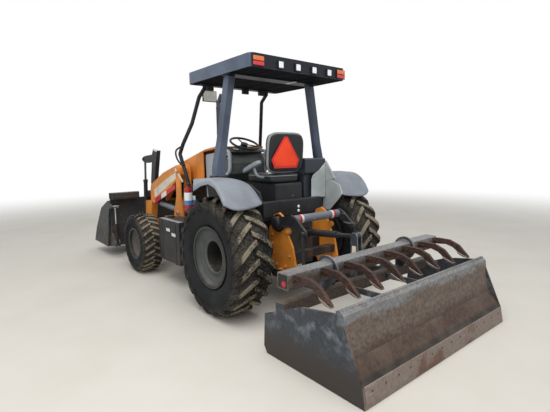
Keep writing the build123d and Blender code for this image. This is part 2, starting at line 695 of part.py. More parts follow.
# Tanks below the platform, with a step bar
for sign, name in ((-1, "left_tank"), (1, "right_tank")):
    with BuildPart() as tank:
        with BuildSketch(level(300)) as plan:
            with BuildLine():
                Polyline(
                    (sign * 600, 950), (sign * 880, 950), (sign * 880, 1550), (sign * 650, 1550),
                    (sign * 600, 1520), close=True,
                )
            make_face()
        extrude(plan.sketch, amount=540)
        near, far = sorted((sign * (RAIL_X + RAIL_W), sign * 601))
        block(near, far, 1080, 1180, 640, 700)
    finish(tank.part, name)

with BuildPart() as extinguisher:
    bar(at(-720, 980, 996), at(-720, 980, 1250), 50)
    bar(at(-720, 980, 1249), at(-720, 980, 1290), 18)
    block(-772, -FENDER_IN - 41, 930, 1030, 988, 997)
    block(-FENDER_IN - 52, -FENDER_IN - 40, 930, 1030, PLATFORM_Z, 1160)
finish(extinguisher.part, "extinguisher")

# Hitch plates behind the gear case
HITCH_OUTLINE = [
    (-128, 560), (-135, 860), (-190, 945), (-220, 1015), (-300, 1045), (-380, 1000), (-420, 850),
    (-510, 700),
    (-550, 520), (-545, 400), (-450, 340), (-310, 330),
]
with BuildPart() as hitch:
    twin_slab(HITCH_OUTLINE, HITCH_X - HITCH_PLATE, HITCH_X)
    twin_block(170, HITCH_X - HITCH_PLATE + 1, -280, -130, 560, 700)
    block(-HITCH_X + 1, HITCH_X - 1, -520, -440, 560, 640)
    twin_block(MAST_GAP, MAST_GAP + 16, TOP_PIN[0] - 55, -300, 750, 850)
    for sign in (1, -1):
        boss(ROCK_PIN, sign * HITCH_X, sign * (HITCH_X + 12 - PIN_GAP), 70)
        boss(LINK_PIN, sign * HITCH_X, sign * (LINK_X - 15 - PIN_GAP), 22)
finish(hitch.part, "hitch_frame")

# Rockshaft: two arms outside the plates and the cross tube behind them
with BuildPart() as rockshaft:
    arm_outline = [
        (-290, 975), (-340, 1000), (-530, 1050), (-600, 1020), (-745, 900), (-752, 866),
        (-722, 846), (-560, 930), (-340, 880), (-270, 880), (-245, 935),
    ]
    twin_slab(arm_outline, HITCH_X + 12, HITCH_X + 36)
    bar(at(-HITCH_X - 40, *ROCK_TUBE), at(HITCH_X + 40, *ROCK_TUBE), 43)
finish(rockshaft.part, "rockshaft")

# Lower links from the hitch plates to the box, with lift rods down to them
with BuildPart() as lower_links:
    link = [
        (-330, 470), (-290, 430), (-330, 390), (-745, 385), (-1080, 392), (-1118, 430),
        (-1080, 468), (-745, 475),
    ]
    twin_slab(link, LINK_X - 15, LINK_X + 15)
finish(lower_links.part, "lower_links")
with BuildPart() as lift_rods_hitch:
    for sign in (1, -1):
        x = sign * (HITCH_X + 36 + PIN_GAP + 20)
        boss(ROCK_EYE, x - 20, x + 20, 24)
        bar(at(x, *ROCK_EYE), at(x, *LIFT_LINK_LOW), 18)
        boss(LIFT_LINK_LOW, x - sign * 18, sign * (LINK_X - 15 - PIN_GAP), 26)
finish(lift_rods_hitch.part, "lift_links")

# Top link between the hitch and the box's mast
with BuildPart() as top_link:
    bar(at(0, *between(TOP_PIN, MAST_PIN, 85)), at(0, *between(TOP_PIN, MAST_PIN, 480)), 36)
    bar(at(0, *TOP_PIN), at(0, *MAST_PIN), 20)
    boss(TOP_PIN, PIN_GAP - MAST_GAP, MAST_GAP - PIN_GAP, 34)
    boss(MAST_PIN, PIN_GAP - MAST_GAP, MAST_GAP - PIN_GAP, 32)
finish(top_link.part, "top_link")

# Box scraper: end plates, curved moldboard, front beam and mast
BOX_HALF = BOX_W / 2
BOX_END = [
    (-2028, 3), (-2000, 155), (-1815, 590), (-1440, 530), (-985, 345), (-970, 60), (-1010, 3),
]
MOLDBOARD = [
    (-2030, 3), (-2004, 155), (-1900, 290), (-1860, 430), (-1840, 580), (-1807, 614),
    (-1770, 600), (-1780, 570), (-1820, 560), (-1835, 430), (-1880, 280), (-1975, 150),
    (-2005, 20), (-2005, 3),
]
with BuildPart() as box:
    twin_slab(BOX_END, BOX_HALF - BOX_PLATE, BOX_HALF)
    slab(MOLDBOARD, -BOX_HALF + 1, BOX_HALF - 1)
    slab([(-1225, 390), (-1130, 390), (-1130, 485), (-1225, 485)], -BOX_HALF + 1, BOX_HALF - 1)
    mast = [(-1160, 484), (-1131, 360), (-1040, 392), (-1040, 470), (-1100, 540), (-1150, 540)]
    for x in (LINK_X - 15 - PIN_GAP - 18, LINK_X + 15 + PIN_GAP):
        twin_slab(mast, x, x + 18)
    tall = [(-1136, 484), (-1040, 440), (-1035, 860), (-1050, 895), (-1095, 895), (-1112, 870)]
    twin_slab(tall, MAST_GAP, MAST_GAP + 16)
    brace = [(-1845, 440), (-1834, 490), (-1224, 470), (-1224, 420)]
    twin_slab(brace, 270, 290)
    for sign in (1, -1):
        x_ring = sign * CARRIER_X - CARRIER_T / 2
        with BuildSketch(side(x_ring)) as carrier:
            with Locations(RIPPER_PIN):
                Circle(COLLAR_R + 24)
            with BuildLine():
                Polyline((-1330, 640), (-1225, 484), (-1140, 484), (-1125, 640), close=True)
            make_face()
            with Locations(RIPPER_PIN):
                Circle(COLLAR_R + 0.05, mode=Mode.SUBTRACT)
        extrude(carrier.sketch, amount=CARRIER_T)
finish(box.part, "box_scraper")

# Ripper bar: square tube with hooked shanks behind it
SHANK_OUTLINE = [
    (0, 55), (-70, 62), (-190, 60), (-290, 20), (-360, -50), (-395, -85), (-372, -92),
    (-300, -60), (-230, -10), (-160, 10), (-70, 0), (0, 0),
]
RIPPER_HALF = 1079
with BuildPart() as ripper:
    half_tube = RIPPER_TUBE / 2
    with BuildSketch(side(-RIPPER_HALF)) as tube:
        with Locations(RIPPER_PIN):
            RectangleRounded(RIPPER_TUBE, RIPPER_TUBE, 10)
            Rectangle(RIPPER_TUBE - 20, RIPPER_TUBE - 20, mode=Mode.SUBTRACT)
    extrude(tube.sketch, amount=2 * RIPPER_HALF)
    for sign in (1, -1):
        with BuildSketch(side(sign * CARRIER_X - CARRIER_T / 2)) as collar:
            with Locations(RIPPER_PIN):
                Circle(COLLAR_R)
                Rectangle(RIPPER_TUBE - 20, RIPPER_TUBE - 20, mode=Mode.SUBTRACT)
        extrude(collar.sketch, amount=CARRIER_T)
    shank = [(RIPPER_PIN[0] - half_tube + 1 + y, RIPPER_PIN[1] + z) for y, z in SHANK_OUTLINE]
    for x in SHANK_X:
        twin_slab(shank, x - 17, x + 17)
finish(ripper.part, "ripper_bar")

# Lamps in the roof
with BuildPart() as work_lamps:
    for x in (-310, -75, 160, 395):
        block(x - 40, x + 40, -345, -330 - SEAT, 2510, 2590)
    for x in (-400, -133, 133, 400):
        block(x - 45, x + 45, 895, 932, 2450, 2500)
finish(work_lamps.part, "work_lamps")
with BuildPart() as tail_lamps:
    twin_block(520, 660, -340, -330 - SEAT, 2505, 2605)
finish(tail_lamps.part, "tail_lamps")
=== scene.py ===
import math

import bpy
import numpy as np
from mathutils import Matrix


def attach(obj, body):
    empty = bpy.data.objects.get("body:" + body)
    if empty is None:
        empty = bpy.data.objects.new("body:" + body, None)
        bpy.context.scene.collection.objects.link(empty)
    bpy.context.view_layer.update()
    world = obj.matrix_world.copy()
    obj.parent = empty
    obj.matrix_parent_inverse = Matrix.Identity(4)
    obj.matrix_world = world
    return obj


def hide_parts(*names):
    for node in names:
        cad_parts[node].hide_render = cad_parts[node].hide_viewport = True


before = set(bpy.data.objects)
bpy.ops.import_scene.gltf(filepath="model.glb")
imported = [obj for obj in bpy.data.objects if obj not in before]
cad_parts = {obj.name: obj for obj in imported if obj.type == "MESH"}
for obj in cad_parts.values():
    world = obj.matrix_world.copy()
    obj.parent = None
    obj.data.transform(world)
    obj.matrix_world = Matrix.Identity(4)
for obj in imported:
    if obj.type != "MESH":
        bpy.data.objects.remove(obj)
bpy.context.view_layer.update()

# The camera stands behind the left rear corner, 1.66 m above the ground, and looks past the
# rear tyre at the loader. Its place, turn, tilt, lean and lens are solved from the picture.
HEADING, TILT, LEAN = math.radians(39.23), math.radians(7.39), math.radians(-0.83)
ahead = np.array([
    math.sin(HEADING) * math.cos(TILT), math.cos(HEADING) * math.cos(TILT), -math.sin(TILT)
])
level = np.array([math.cos(HEADING), -math.sin(HEADING), 0.0])
upright = np.cross(level, ahead)
right = math.cos(LEAN) * level + math.sin(LEAN) * upright
top = math.cos(LEAN) * upright - math.sin(LEAN) * level
eye = bpy.data.objects.new("photo_camera", bpy.data.cameras.new("photo_camera"))
bpy.context.scene.collection.objects.link(eye)
placing = np.eye(4)
placing[:3, 0], placing[:3, 1], placing[:3, 2] = right, top, -ahead
placing[:3, 3] = (-3.016, -4.539, 1.661)
eye.matrix_world = Matrix(placing.tolist())
eye.data.sensor_width = 36.0
eye.data.lens = 36.0 * 400.6 / 550  # 400.6 pixels in a picture 550 wide
eye.data.clip_end = 200.0
bpy.context.scene.camera = eye
bpy.context.scene.view_settings.view_transform = "Standard"


# The ground is a plain pale floor under an overcast sky: one wide soft lamp overhead, one weaker
# from the open side behind the machine, and a white backdrop that gloss and glass see as well.
class Wire:
    """One output socket in a node tree. Arithmetic on it adds Math nodes to that tree."""

    def __init__(self, tree, socket):
        self.tree = tree
        self.socket = socket

    def node(self, kind, settings=None, inputs=None, out=0):
        """Adds a node: its settings first, then its inputs by number or name, values or wires."""
        made = self.tree.nodes.new(kind)
        for name, value in (settings or {}).items():
            setattr(made, name, value)
        for name, value in (inputs or {}).items():
            if isinstance(value, Wire):
                self.tree.links.new(value.socket, made.inputs[name])
            else:
                made.inputs[name].default_value = value
        return Wire(self.tree, made.outputs[out])

    def math(self, operation, other=0.0, flip=False):
        """A Math node of self and other, or of other and self."""
        pair = (other, self) if flip else (self, other)
        return self.node("ShaderNodeMath", {"operation": operation}, dict(enumerate(pair)))

    def __add__(self, other):
        return self.math("ADD", other)

    def __sub__(self, other):
        return self.math("SUBTRACT", other)

    def __rsub__(self, other):
        return self.math("SUBTRACT", other, True)

    def __mul__(self, other):
        return self.math("MULTIPLY", other)

    __radd__ = __add__
    __rmul__ = __mul__

    def rise(self, low, high):
        """0 up to low, 1 from high on, and a smooth step between them."""
        return self.node(
            "ShaderNodeMapRange", {"interpolation_type": "SMOOTHSTEP"},
            {"Value": self, "From Min": low, "From Max": high},
        )

    def blend(self, first, second):
        """The colour first where self is 0 and second where it is 1."""
        shades = {6: first, 7: second}
        for name, tint in shades.items():
            if not isinstance(tint, Wire):
                shades[name] = (*tint, 1.0)
        settings = {"data_type": "RGBA", "clamp_factor": True}
        return self.node("ShaderNodeMix", settings, {0: self, **shades}, 2)

    def noise(self, scale, detail=4.0, stretch=(1.0, 1.0, 1.0), roughness=0.55):
        """Fractal noise over this vector, stretched by axis, between 0 and 1 about 0.5."""
        place = self.node("ShaderNodeMapping", {}, {"Vector": self, "Scale": stretch})
        inputs = {"Vector": place, "Scale": scale, "Detail": detail, "Roughness": roughness}
        return self.node("ShaderNodeTexNoise", {}, inputs)

    def part(self, axis):
        """The x, y or z part of this vector, by number."""
        return self.node("ShaderNodeSeparateXYZ", {}, {0: self}, axis)

    def relief(self, strength, distance):
        """The surface's normal where self is a height that stands proud by the distance."""
        inputs = {"Strength": strength, "Distance": distance, "Height": self}
        return self.node("ShaderNodeBump", {}, inputs)


def shade(red, green, blue):
    """A colour given as it looks on a screen, 0 to 255, as linear light."""
    part = np.array([red, green, blue]) / 255
    linear = np.where(part <= 0.04045, part / 12.92, ((part + 0.055) / 1.055) ** 2.4)
    return tuple(float(value) for value in linear)


def blank(name):
    """A new material: itself, its shader node, a wire at object coordinates and one at normals."""
    material = bpy.data.materials.new(name)
    material.use_nodes = True
    tree = material.node_tree
    tree.nodes.clear()
    shader = tree.nodes.new("ShaderNodeBsdfPrincipled")
    output = tree.nodes.new("ShaderNodeOutputMaterial")
    tree.links.new(shader.outputs[0], output.inputs[0])
    place = tree.nodes.new("ShaderNodeTexCoord")
    at, facing = (Wire(tree, place.outputs[name]) for name in ("Object", "Normal"))
    return material, shader, at, facing


def feed(shader, **sockets):
    """Sets the shader's sockets, written with _ for a space, to values or wires."""
    for name, value in sockets.items():
        socket = shader.inputs[name.replace("_", " ")]
        if isinstance(value, Wire):
            value.tree.links.new(value.socket, socket)
        elif isinstance(value, tuple):
            socket.default_value = (*value, 1.0)
        else:
            socket.default_value = value


floor_data = bpy.data.meshes.new("floor")
floor_data.from_pydata([(-40, -40, 0), (40, -40, 0), (40, 40, 0), (-40, 40, 0)], [], [(0, 1, 2, 3)])
floor = bpy.data.objects.new("floor", floor_data)
bpy.context.scene.collection.objects.link(floor)
floor_paint, floor_shader, at, facing = blank("floor")
sandy = at.noise(1.3, 5.0).rise(0.3, 0.7).blend(shade(208, 203, 192), shade(213, 208, 198))
feed(floor_shader, Base_Color=sandy, Roughness=0.95)
reach = at.node("ShaderNodeVectorMath", {"operation": "LENGTH"}, {0: at}, 1)
away = at.node("ShaderNodeBsdfTransparent")
fade = at.node("ShaderNodeMixShader", {}, {0: reach.rise(6.0, 15.0), 2: away})
at.tree.links.new(floor_shader.outputs[0], fade.socket.node.inputs[1])
output = next(node for node in at.tree.nodes if node.type == "OUTPUT_MATERIAL")
at.tree.links.new(fade.socket, output.inputs[0])
floor_data.materials.append(floor_paint)

world = bpy.data.worlds.new("overcast")
world.use_nodes = True
bpy.context.scene.world = world
world.node_tree.nodes.clear()
rays = world.node_tree.nodes.new("ShaderNodeLightPath")
seen = Wire(world.node_tree, rays.outputs["Is Camera Ray"])
for name in ("Is Glossy Ray", "Is Transmission Ray"):
    seen = seen.math("MAXIMUM", Wire(world.node_tree, rays.outputs[name]))
sky = seen.node("ShaderNodeBackground", {}, {0: (0.93, 0.96, 1.0, 1.0), 1: 0.62})
paper = seen.node("ShaderNodeBackground", {}, {0: (1.0, 1.0, 1.0, 1.0), 1: 1.0})
whole = seen.node("ShaderNodeMixShader", {}, {0: seen, 1: sky, 2: paper})
world_output = world.node_tree.nodes.new("ShaderNodeOutputWorld")
world.node_tree.links.new(whole.socket, world_output.inputs[0])


def unit(rows):
    """Each row divided by its length."""
    return rows / np.linalg.norm(rows, axis=-1, keepdims=True)


for name, place, size, power, target in (
    ("overhead", (-2.0, -3.0, 7.5), 7.0, 420.0, (0.0, 0.0, 0.8)),
    ("open_side", (-6.5, -5.5, 4.0), 4.5, 110.0, (0.0, 0.0, 0.9)),
):
    lamp = bpy.data.lights.new(name, "AREA")
    lamp.shape = "DISK"
    lamp.size = size
    lamp.energy = power
    holder = bpy.data.objects.new(name, lamp)
    bpy.context.scene.collection.objects.link(holder)
    aim = unit(np.array(target) - np.array(place))
    sideways = unit(np.cross(aim, (0.0, 0.0, 1.0)))
    turn = np.eye(4)
    turn[:3, 0], turn[:3, 1], turn[:3, 2] = sideways, np.cross(sideways, aim), -aim
    turn[:3, 3] = place
    holder.matrix_world = Matrix(turn.tolist())


# Sheet and plate under old machine paint: orange on the loader, hood and hitch, mid-grey on the
# fenders, black on the frame, platform and tanks. It is sprayed on primed steel; dust lies on it
# and the steel or its rust shows where it is chipped.
def painted(name, colour, under, gloss, dust, chips, streaks, worn=0.0, inner=None, shaded=None):
    """Old paint. Its tone drifts in clouds, streaks run down its upright faces, dust lies on faces
    that look up and thins with height, and it is chipped where a noise passes the chips level.
    Nearer to the machine's middle than inner's place it has inner's colour instead: a second
    paint on the hitch and rockshaft, and a painted shade in the rear dish's deep centre. Faces
    that look down have the shaded colour where one is given, and those to the rear by its share:
    this is a painted shade."""
    material, shader, at, facing = blank(name)
    clouds = at.noise(2.3, 5.0)
    fine = at.noise(55.0, 3.0)
    drops = at.noise(9.0, 4.0, (1.0, 1.0, 0.12))
    height = at.part(2)
    up = facing.part(2)
    darker = tuple(0.72 * value for value in colour)
    lighter = tuple(min(1.0, 1.12 * value + 0.012) for value in colour)
    coat = clouds.rise(0.3, 0.7).blend(darker, lighter)
    if inner:
        across = at.part(0).math("ABSOLUTE")
        coat = across.rise(inner[0] - 0.001, inner[0] + 0.001).blend(inner[1], coat)
    # Painted shade: faces that look down, and those to the rear by the share, take the dark shaded
    # colour.
    if shaded:
        rear = 0.0 - facing.part(1)
        rear = rear.rise(0.6, 0.8) * shaded[1]
        coat = rear.math("MAXIMUM", (0.0 - up).rise(0.3, 0.6)).blend(coat, shaded[0])
    grime = drops.rise(0.5, 0.75) * (1.0 - up.rise(0.2, 0.8)) * streaks
    coat = grime.blend(coat, tuple(0.35 * value + 0.008 for value in colour))
    low = 1.0 - height.rise(0.1, 1.5)
    lying = up.rise(0.35, 0.95) * (0.55 + low * 0.45) + low * 0.35
    lying = lying * at.noise(6.0, 6.0).rise(0.25, 0.75) * dust
    coat = lying.blend(coat, shade(158, 148, 132))
    flakes = (at.noise(14.0, 8.0, roughness=0.7) + clouds * 0.25).rise(chips + 0.125, chips + 0.16)
    rub = at.noise(30.0, 2.0, (1.0, 0.07, 1.0)).rise(0.66, 0.74) * worn
    flakes = flakes.math("MAXIMUM", rub)
    coat = flakes.blend(coat, under)
    matt = 1.0 - (1.0 - (lying.math("MAXIMUM", flakes) * 0.35)) * gloss + (fine - 0.5) * 0.12
    bump = (fine * 0.3 - flakes).relief(0.25, 0.002)
    feed(shader, Base_Color=coat, Roughness=matt, Normal=bump, Specular_IOR_Level=0.3)
    return material


def dress(finish, *names):
    """Gives the CAD nodes of those names this finish."""
    for name in names:
        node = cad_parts[name]
        if not node.material_slots:
            node.data.materials.append(finish)
        for place in node.material_slots:
            place.material = finish


RUST = shade(92, 58, 40)
STEEL = shade(96, 92, 88)
orange = painted("orange_paint", shade(226, 140, 52), RUST, 0.55, 0.25, 0.68, 0.3)
hitch_orange = painted(
    "hitch_orange", shade(228, 142, 48), RUST, 0.55, 0.2, 0.68, 0.35,
    inner=(0.3035, shade(34, 34, 37)),
)
# The fenders' faces that look down are painted dark grey: a painted shade under the covers.
grey = painted(
    "grey_paint", shade(134, 140, 148), shade(70, 70, 72), 0.5, 0.2, 0.72, 0.15,
    shaded=(shade(40, 42, 45), 0.0),
)
canopy = painted("canopy_paint", shade(72, 82, 99), STEEL, 0.55, 0.2, 0.74, 0.2)
# The roof's faces that look down and its rear face are painted dark navy: a painted shade under and
# behind the roof.
roof_paint = painted(
    "roof_paint", shade(82, 93, 111), STEEL, 0.55, 0.25, 0.74, 0.2,
    shaded=(shade(20, 23, 33), 1.0),
)
black = painted("black_paint", shade(27, 29, 33), STEEL, 0.45, 0.22, 0.68, 0.2)
engine_black = painted("engine_black", shade(44, 42, 40), RUST, 0.35, 0.6, 0.6, 0.6)
cylinder_grey = painted("cylinder_paint", shade(112, 117, 124), STEEL, 0.45, 0.3, 0.66, 0.3)
shaft_paint = painted(
    "shaft_paint", shade(38, 40, 44), shade(150, 152, 156), 0.5, 0.2, 0.6, 0.2, worn=0.5,
    inner=(0.335, shade(104, 109, 118)),
)
dress(orange, "hood", "loader_towers", "boom")
dress(hitch_orange, "hitch_frame")
dress(shaft_paint, "rockshaft")
dress(grey, "left_fender", "right_fender")
dress(cylinder_grey, "lift_cylinder_barrels")
dress(canopy, "roof_posts_rear")
dress(roof_paint, "roof")
dress(
    black, "roof_posts_front", "boom_brackets", "platform", "rear_crossmember", "front_frame",
    "left_tank", "right_tank", "lower_links", "lift_links", "top_link",
    "clam_cylinder_barrels", "tilt_cylinder_barrels", "grille",
)
dress(
    engine_black, "engine_block", "transmission", "radiator", "front_axle", "left_knuckle",
    "right_knuckle",
)


# The bucket and its clam, the box scraper and the ripper bar are welded from steel plate and have
# lost their paint to soil. Brown rust stands in patches, and bright metal where the soil runs.
def bare_steel(name, dark, rust, bright, share=0.5, shine=0.35, run=(1.0, 1.0, 1.0)):
    """Worn steel. Clouds of rust cover the given share of dark plate, fine specks break its edge,
    scratches along the stretched axis show bright metal, and dust fills the low places."""
    material, shader, at, facing = blank(name)
    clouds = at.noise(1.9, 8.0, roughness=0.62)
    specks = at.noise(38.0, 6.0, roughness=0.7)
    lines = at.noise(22.0, 3.0, run)
    cover = (clouds + (specks - 0.5) * 0.35).rise(0.62 - share * 0.35, 0.72 - share * 0.35)
    plate = specks.rise(0.3, 0.7).blend(tuple(0.7 * value for value in dark), dark)
    red = specks.rise(0.35, 0.7).blend(tuple(0.6 * value for value in rust), rust)
    coat = cover.blend(plate, red)
    rubbed = lines.rise(0.6, 0.72) * (1.0 - cover * 0.6) * shine
    coat = rubbed.blend(coat, bright)
    up = facing.part(2)
    dust = up.rise(0.2, 0.9) * at.noise(5.0, 6.0).rise(0.25, 0.7) * 0.6
    coat = dust.blend(coat, shade(150, 138, 120))
    matt = 0.55 + cover * 0.3 - rubbed * 0.25 + dust * 0.1
    bump = (specks + cover * 0.5).relief(0.35, 0.002)
    feed(shader, Base_Color=coat, Roughness=matt, Metallic=0.25, Normal=bump)
    return material


def scraper_coat():
    """The scraper's steel. End plates are slate with pale scuffs that gather towards the top and
    brown soil low down. The board changes with height, its borders moved by a noise: a pale low
    band, a painted shade as a dark line at the crease, dark brown, brown-grey and a worn grey
    lip."""
    material, shader, at, facing = blank("dark_steel")
    height = at.part(2)
    ends = facing.part(0).math("ABSOLUTE").rise(0.6, 0.8)
    clouds = at.noise(2.6, 8.0, (0.5, 1.0, 1.2), 0.62)
    specks = at.noise(34.0, 6.0, roughness=0.7)
    swept = at.noise(9.0, 6.0, (0.35, 1.0, 1.0), 0.65)
    wavy = height + (clouds - 0.5) * 0.26
    soil = specks.rise(0.3, 0.7).blend(shade(50, 36, 31), shade(84, 62, 51))
    board = wavy.rise(0.24, 0.42).blend(soil, specks.rise(0.3, 0.7).blend(
        shade(84, 72, 64), shade(122, 108, 98)
    ))
    worn = (wavy + (swept - 0.5) * 0.3).rise(0.50, 0.56)
    board = worn.blend(board, (specks * 0.5 + swept * 0.5).rise(0.35, 0.65).blend(
        shade(88, 88, 90), shade(146, 146, 146)
    ))
    board = (swept.rise(0.52, 0.72) * 0.4).blend(board, shade(52, 39, 34))
    low = (clouds * 0.6 + specks * 0.4).rise(0.35, 0.65).blend(
        shade(112, 96, 88), shade(150, 136, 126)
    )
    board = height.rise(0.150, 0.155).blend(low, board)
    # Painted shade: a dark line along the crease above the low band.
    crease_shade = (height - 0.170).math("ABSOLUTE").rise(0.004, 0.034)
    board = crease_shade.blend(shade(30, 24, 22), board)
    scuffs = (swept * 0.7 + clouds * 0.3).rise(0.46, 0.66) * wavy.rise(0.16, 0.42)
    end = specks.rise(0.3, 0.7).blend(shade(44, 48, 54), shade(62, 67, 74))
    end = (scuffs * 0.75).blend(end, shade(128, 136, 146))
    end = (1.0 - wavy.rise(0.10, 0.34)).blend(end, shade(54, 48, 44))
    rubbed = (clouds + (specks - 0.5) * 0.4).rise(0.68, 0.76) * 0.7
    end = rubbed.blend(end, shade(86, 60, 46))
    coat = ends.blend(board, end)
    up = facing.part(2)
    dust = up.rise(0.3, 0.9) * at.noise(5.0, 6.0).rise(0.35, 0.75) * 0.35
    coat = dust.blend(coat, shade(150, 138, 120))
    matt = 0.62 - ends * 0.14 + specks * 0.12
    bump = (specks + swept).relief(0.4, 0.003)
    feed(shader, Base_Color=coat, Roughness=matt, Metallic=0.2, Normal=bump)
    return material


def ripper_coat():
    """The ripper's steel: the tube is light grey on faces that look up and high on it, in patches,
    and brown on its sides lower down; behind the tube, on the shanks, it is dark brown with rubbed
    pale-brown edges."""
    material, shader, at, facing = blank("ripper_steel")
    up = facing.part(2)
    along = at.part(1)
    height = at.part(2)
    clouds = at.noise(3.2, 7.0, (0.5, 1.0, 1.0), 0.6)
    specks = at.noise(40.0, 6.0, roughness=0.7)
    upper_grey = specks.rise(0.3, 0.7).blend(shade(112, 112, 113), shade(150, 150, 150))
    brown = specks.rise(0.3, 0.7).blend(shade(70, 56, 49), shade(112, 97, 88))
    # Faces that look up, and the tube's top, are made light grey.
    grey_share = (
        up.rise(0.2, 0.8) + (height + (clouds - 0.5) * 0.12).rise(0.680, 0.740)
    ).math("MINIMUM", 1.0)
    tube = (grey_share * (0.45 + clouds.rise(0.25, 0.6) * 0.5)).blend(brown, upper_grey)
    shank = (specks + (clouds - 0.5) * 0.5).rise(0.4, 0.75).blend(
        shade(48, 33, 28), shade(96, 66, 52)
    )
    coat = along.rise(-2.318, -2.314).blend(shank, tube)
    bump = specks.relief(0.35, 0.002)
    feed(shader, Base_Color=coat, Roughness=0.58 + specks * 0.2, Metallic=0.2, Normal=bump)
    return material


scraper_steel = scraper_coat()
bead_steel = bare_steel(
    "bead_steel", shade(84, 66, 56), shade(118, 86, 68), shade(150, 136, 124), 0.5, 0.3
)
bucket_steel = bare_steel(
    "worn_steel", shade(60, 61, 64), shade(84, 66, 54), shade(150, 148, 146), 0.3, 0.3
)
ripper_steel = ripper_coat()
dress(scraper_steel, "box_scraper")
dress(bucket_steel, "bucket_back", "bucket_clam")
dress(ripper_steel, "ripper_bar")


# The rods of the cylinders and the steering rod are turned steel, ground and chromed, with a film
# of oil and fine dust. The bucket's tilt rods have gone dark with old oil.
chrome, chrome_shader, at, facing = blank("chrome")
film = at.noise(18.0, 5.0).rise(0.4, 0.75)
feed(
    chrome_shader, Base_Color=film.blend(shade(205, 207, 210), shade(140, 132, 122)),
    Roughness=0.12 + film * 0.3, Metallic=1.0,
)
dress(chrome, "lift_cylinder_rods", "clam_cylinder_rods", "steering_rod")
oiled_rod, rod_shader, at, facing = blank("oiled_rod")
film = at.noise(16.0, 5.0, (1.0, 1.0, 0.3)).rise(0.35, 0.7)
feed(
    rod_shader, Base_Color=film.blend(shade(92, 94, 98), shade(48, 46, 44)),
    Roughness=0.22 + film * 0.4, Metallic=0.8,
)
dress(oiled_rod, "tilt_cylinder_rods")


# The levers' knobs, the steering wheel, the mirror's case and the side console are moulded in
# plastic with a dull, finely pebbled skin, and pale dust lies on what looks up.
def moulded(name, colour, pebble=180.0, matt=0.6, dust=0.2, shine=0.4):
    """Plastic or rubber: one tone with soft clouds, a pebbled bump and dust on what looks up."""
    material, shader, at, facing = blank(name)
    clouds = at.noise(5.0, 5.0).rise(0.3, 0.7)
    grain = at.node("ShaderNodeTexVoronoi", {}, {"Vector": at, "Scale": pebble})
    up = facing.part(2)
    coat = clouds.blend(tuple(0.75 * value for value in colour), colour)
    lying = up.rise(0.3, 0.9) * at.noise(9.0, 5.0).rise(0.3, 0.7) * dust
    coat = lying.blend(coat, shade(150, 143, 130))
    bump = grain.relief(0.2, 0.001)
    feed(
        shader, Base_Color=coat, Roughness=matt + (clouds - 0.5) * 0.15, Normal=bump,
        Specular_IOR_Level=shine,
    )
    return material


plastic = moulded("black_plastic", shade(34, 35, 37))
dress(plastic, "levers", "steering_wheel", "mirror")
dress(moulded("console_plastic", shade(50, 54, 63), 200.0, 0.5, 0.3), "side_console")


# The cowl is pressed steel, light grey beside the hood and dark grey-green at the dash. Round the
# dash runs a light-grey moulded frame with a black switch insert. On top, screwed to the cowl, sit
# two plain dials in black rings, a key and a row of rocker switches.
def banded(name, axis, edges, colours, gloss):
    """Paint in bands: the place along the axis picks the next colour at each edge in metres, and
    clouds, specks of dust and a fine bump break it up."""
    material, shader, at, facing = blank(name)
    along = at.part(axis)
    clouds = at.noise(7.0, 5.0)
    coat = clouds.rise(0.3, 0.7).blend(tuple(0.85 * value for value in colours[0]), colours[0])
    for edge, colour in zip(edges, colours[1:]):
        coat = along.rise(edge - 0.001, edge + 0.001).blend(coat, colour)
    up = facing.part(2)
    dust = (clouds + up.rise(0.3, 0.9) * 0.3).rise(0.55, 0.9) * 0.3
    coat = dust.blend(coat, shade(150, 143, 130))
    bump = at.noise(60.0).relief(0.2, 0.001)
    feed(shader, Base_Color=coat, Roughness=1.0 - gloss + dust * 0.6, Normal=bump)
    return material


dress(banded(
    "cowl_two_greys", 1, (-0.129,), (shade(92, 99, 97), shade(168, 174, 180)), 0.45
), "cowl")
# The shared frame's y of the rear axle, from which the added pieces are measured.
REAR_AXLE = -1.010


def spot(x, y, z):
    """A point given in millimetres from the ground under the middle of the rear axle."""
    return np.array([x / 1000, y / 1000 + REAR_AXLE, z / 1000])


def patch(rows, columns, ring=False, loop=False, start=0):
    """Quads over a rows by columns grid of points; ring closes the columns and loop the rows."""
    near = np.arange(rows if loop else rows - 1)
    side = np.arange(columns if ring else columns - 1)
    row, column = np.meshgrid(near, side, indexing="ij")
    next_row, next_column = (row + 1) % rows, (column + 1) % columns
    quads = np.stack([
        row * columns + column, row * columns + next_column,
        next_row * columns + next_column, next_row * columns + column,
    ], axis=-1)
    return (quads.reshape(-1, 4) + start).tolist()


def stack(rows, loop=False):
    """A closed form from rows of rings: the rings are joined in order, and the first and the last
    are closed by a face each, or joined to each other where loop is set."""
    rows = np.asarray(rows, float)
    count, columns = rows.shape[:2]
    faces = patch(count, columns, ring=True, loop=loop)
    if not loop:
        faces.append(list(range(columns))[::-1])
        faces.append(list(range((count - 1) * columns, count * columns)))
    return rows.reshape(-1, 3), faces


def gather(forms):
    """Closed forms, each its points and faces, as the points and faces of one mesh."""
    points, faces, base = [], [], 0
    for made, sides in forms:
        points.append(made)
        faces += [[corner + base for corner in face] for face in sides]
        base += len(made)
    return np.concatenate(points), faces


def add(name, forms, finish, body="chassis", smooth=False):
    """A new mesh object of these closed forms, with its finish in a material slot and the body that
    it rides on. Unless it is smooth, its faces are shaded flat."""
    points, faces = gather(forms)
    data = bpy.data.meshes.new(name)
    data.from_pydata(points.reshape(-1, 3).tolist(), [], faces)
    data.materials.append(finish)
    data.polygons.foreach_set("use_smooth", np.full(len(data.polygons), smooth))
    data.update()
    piece = bpy.data.objects.new(name, data)
    bpy.context.scene.collection.objects.link(piece)
    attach(piece, body)
    return piece


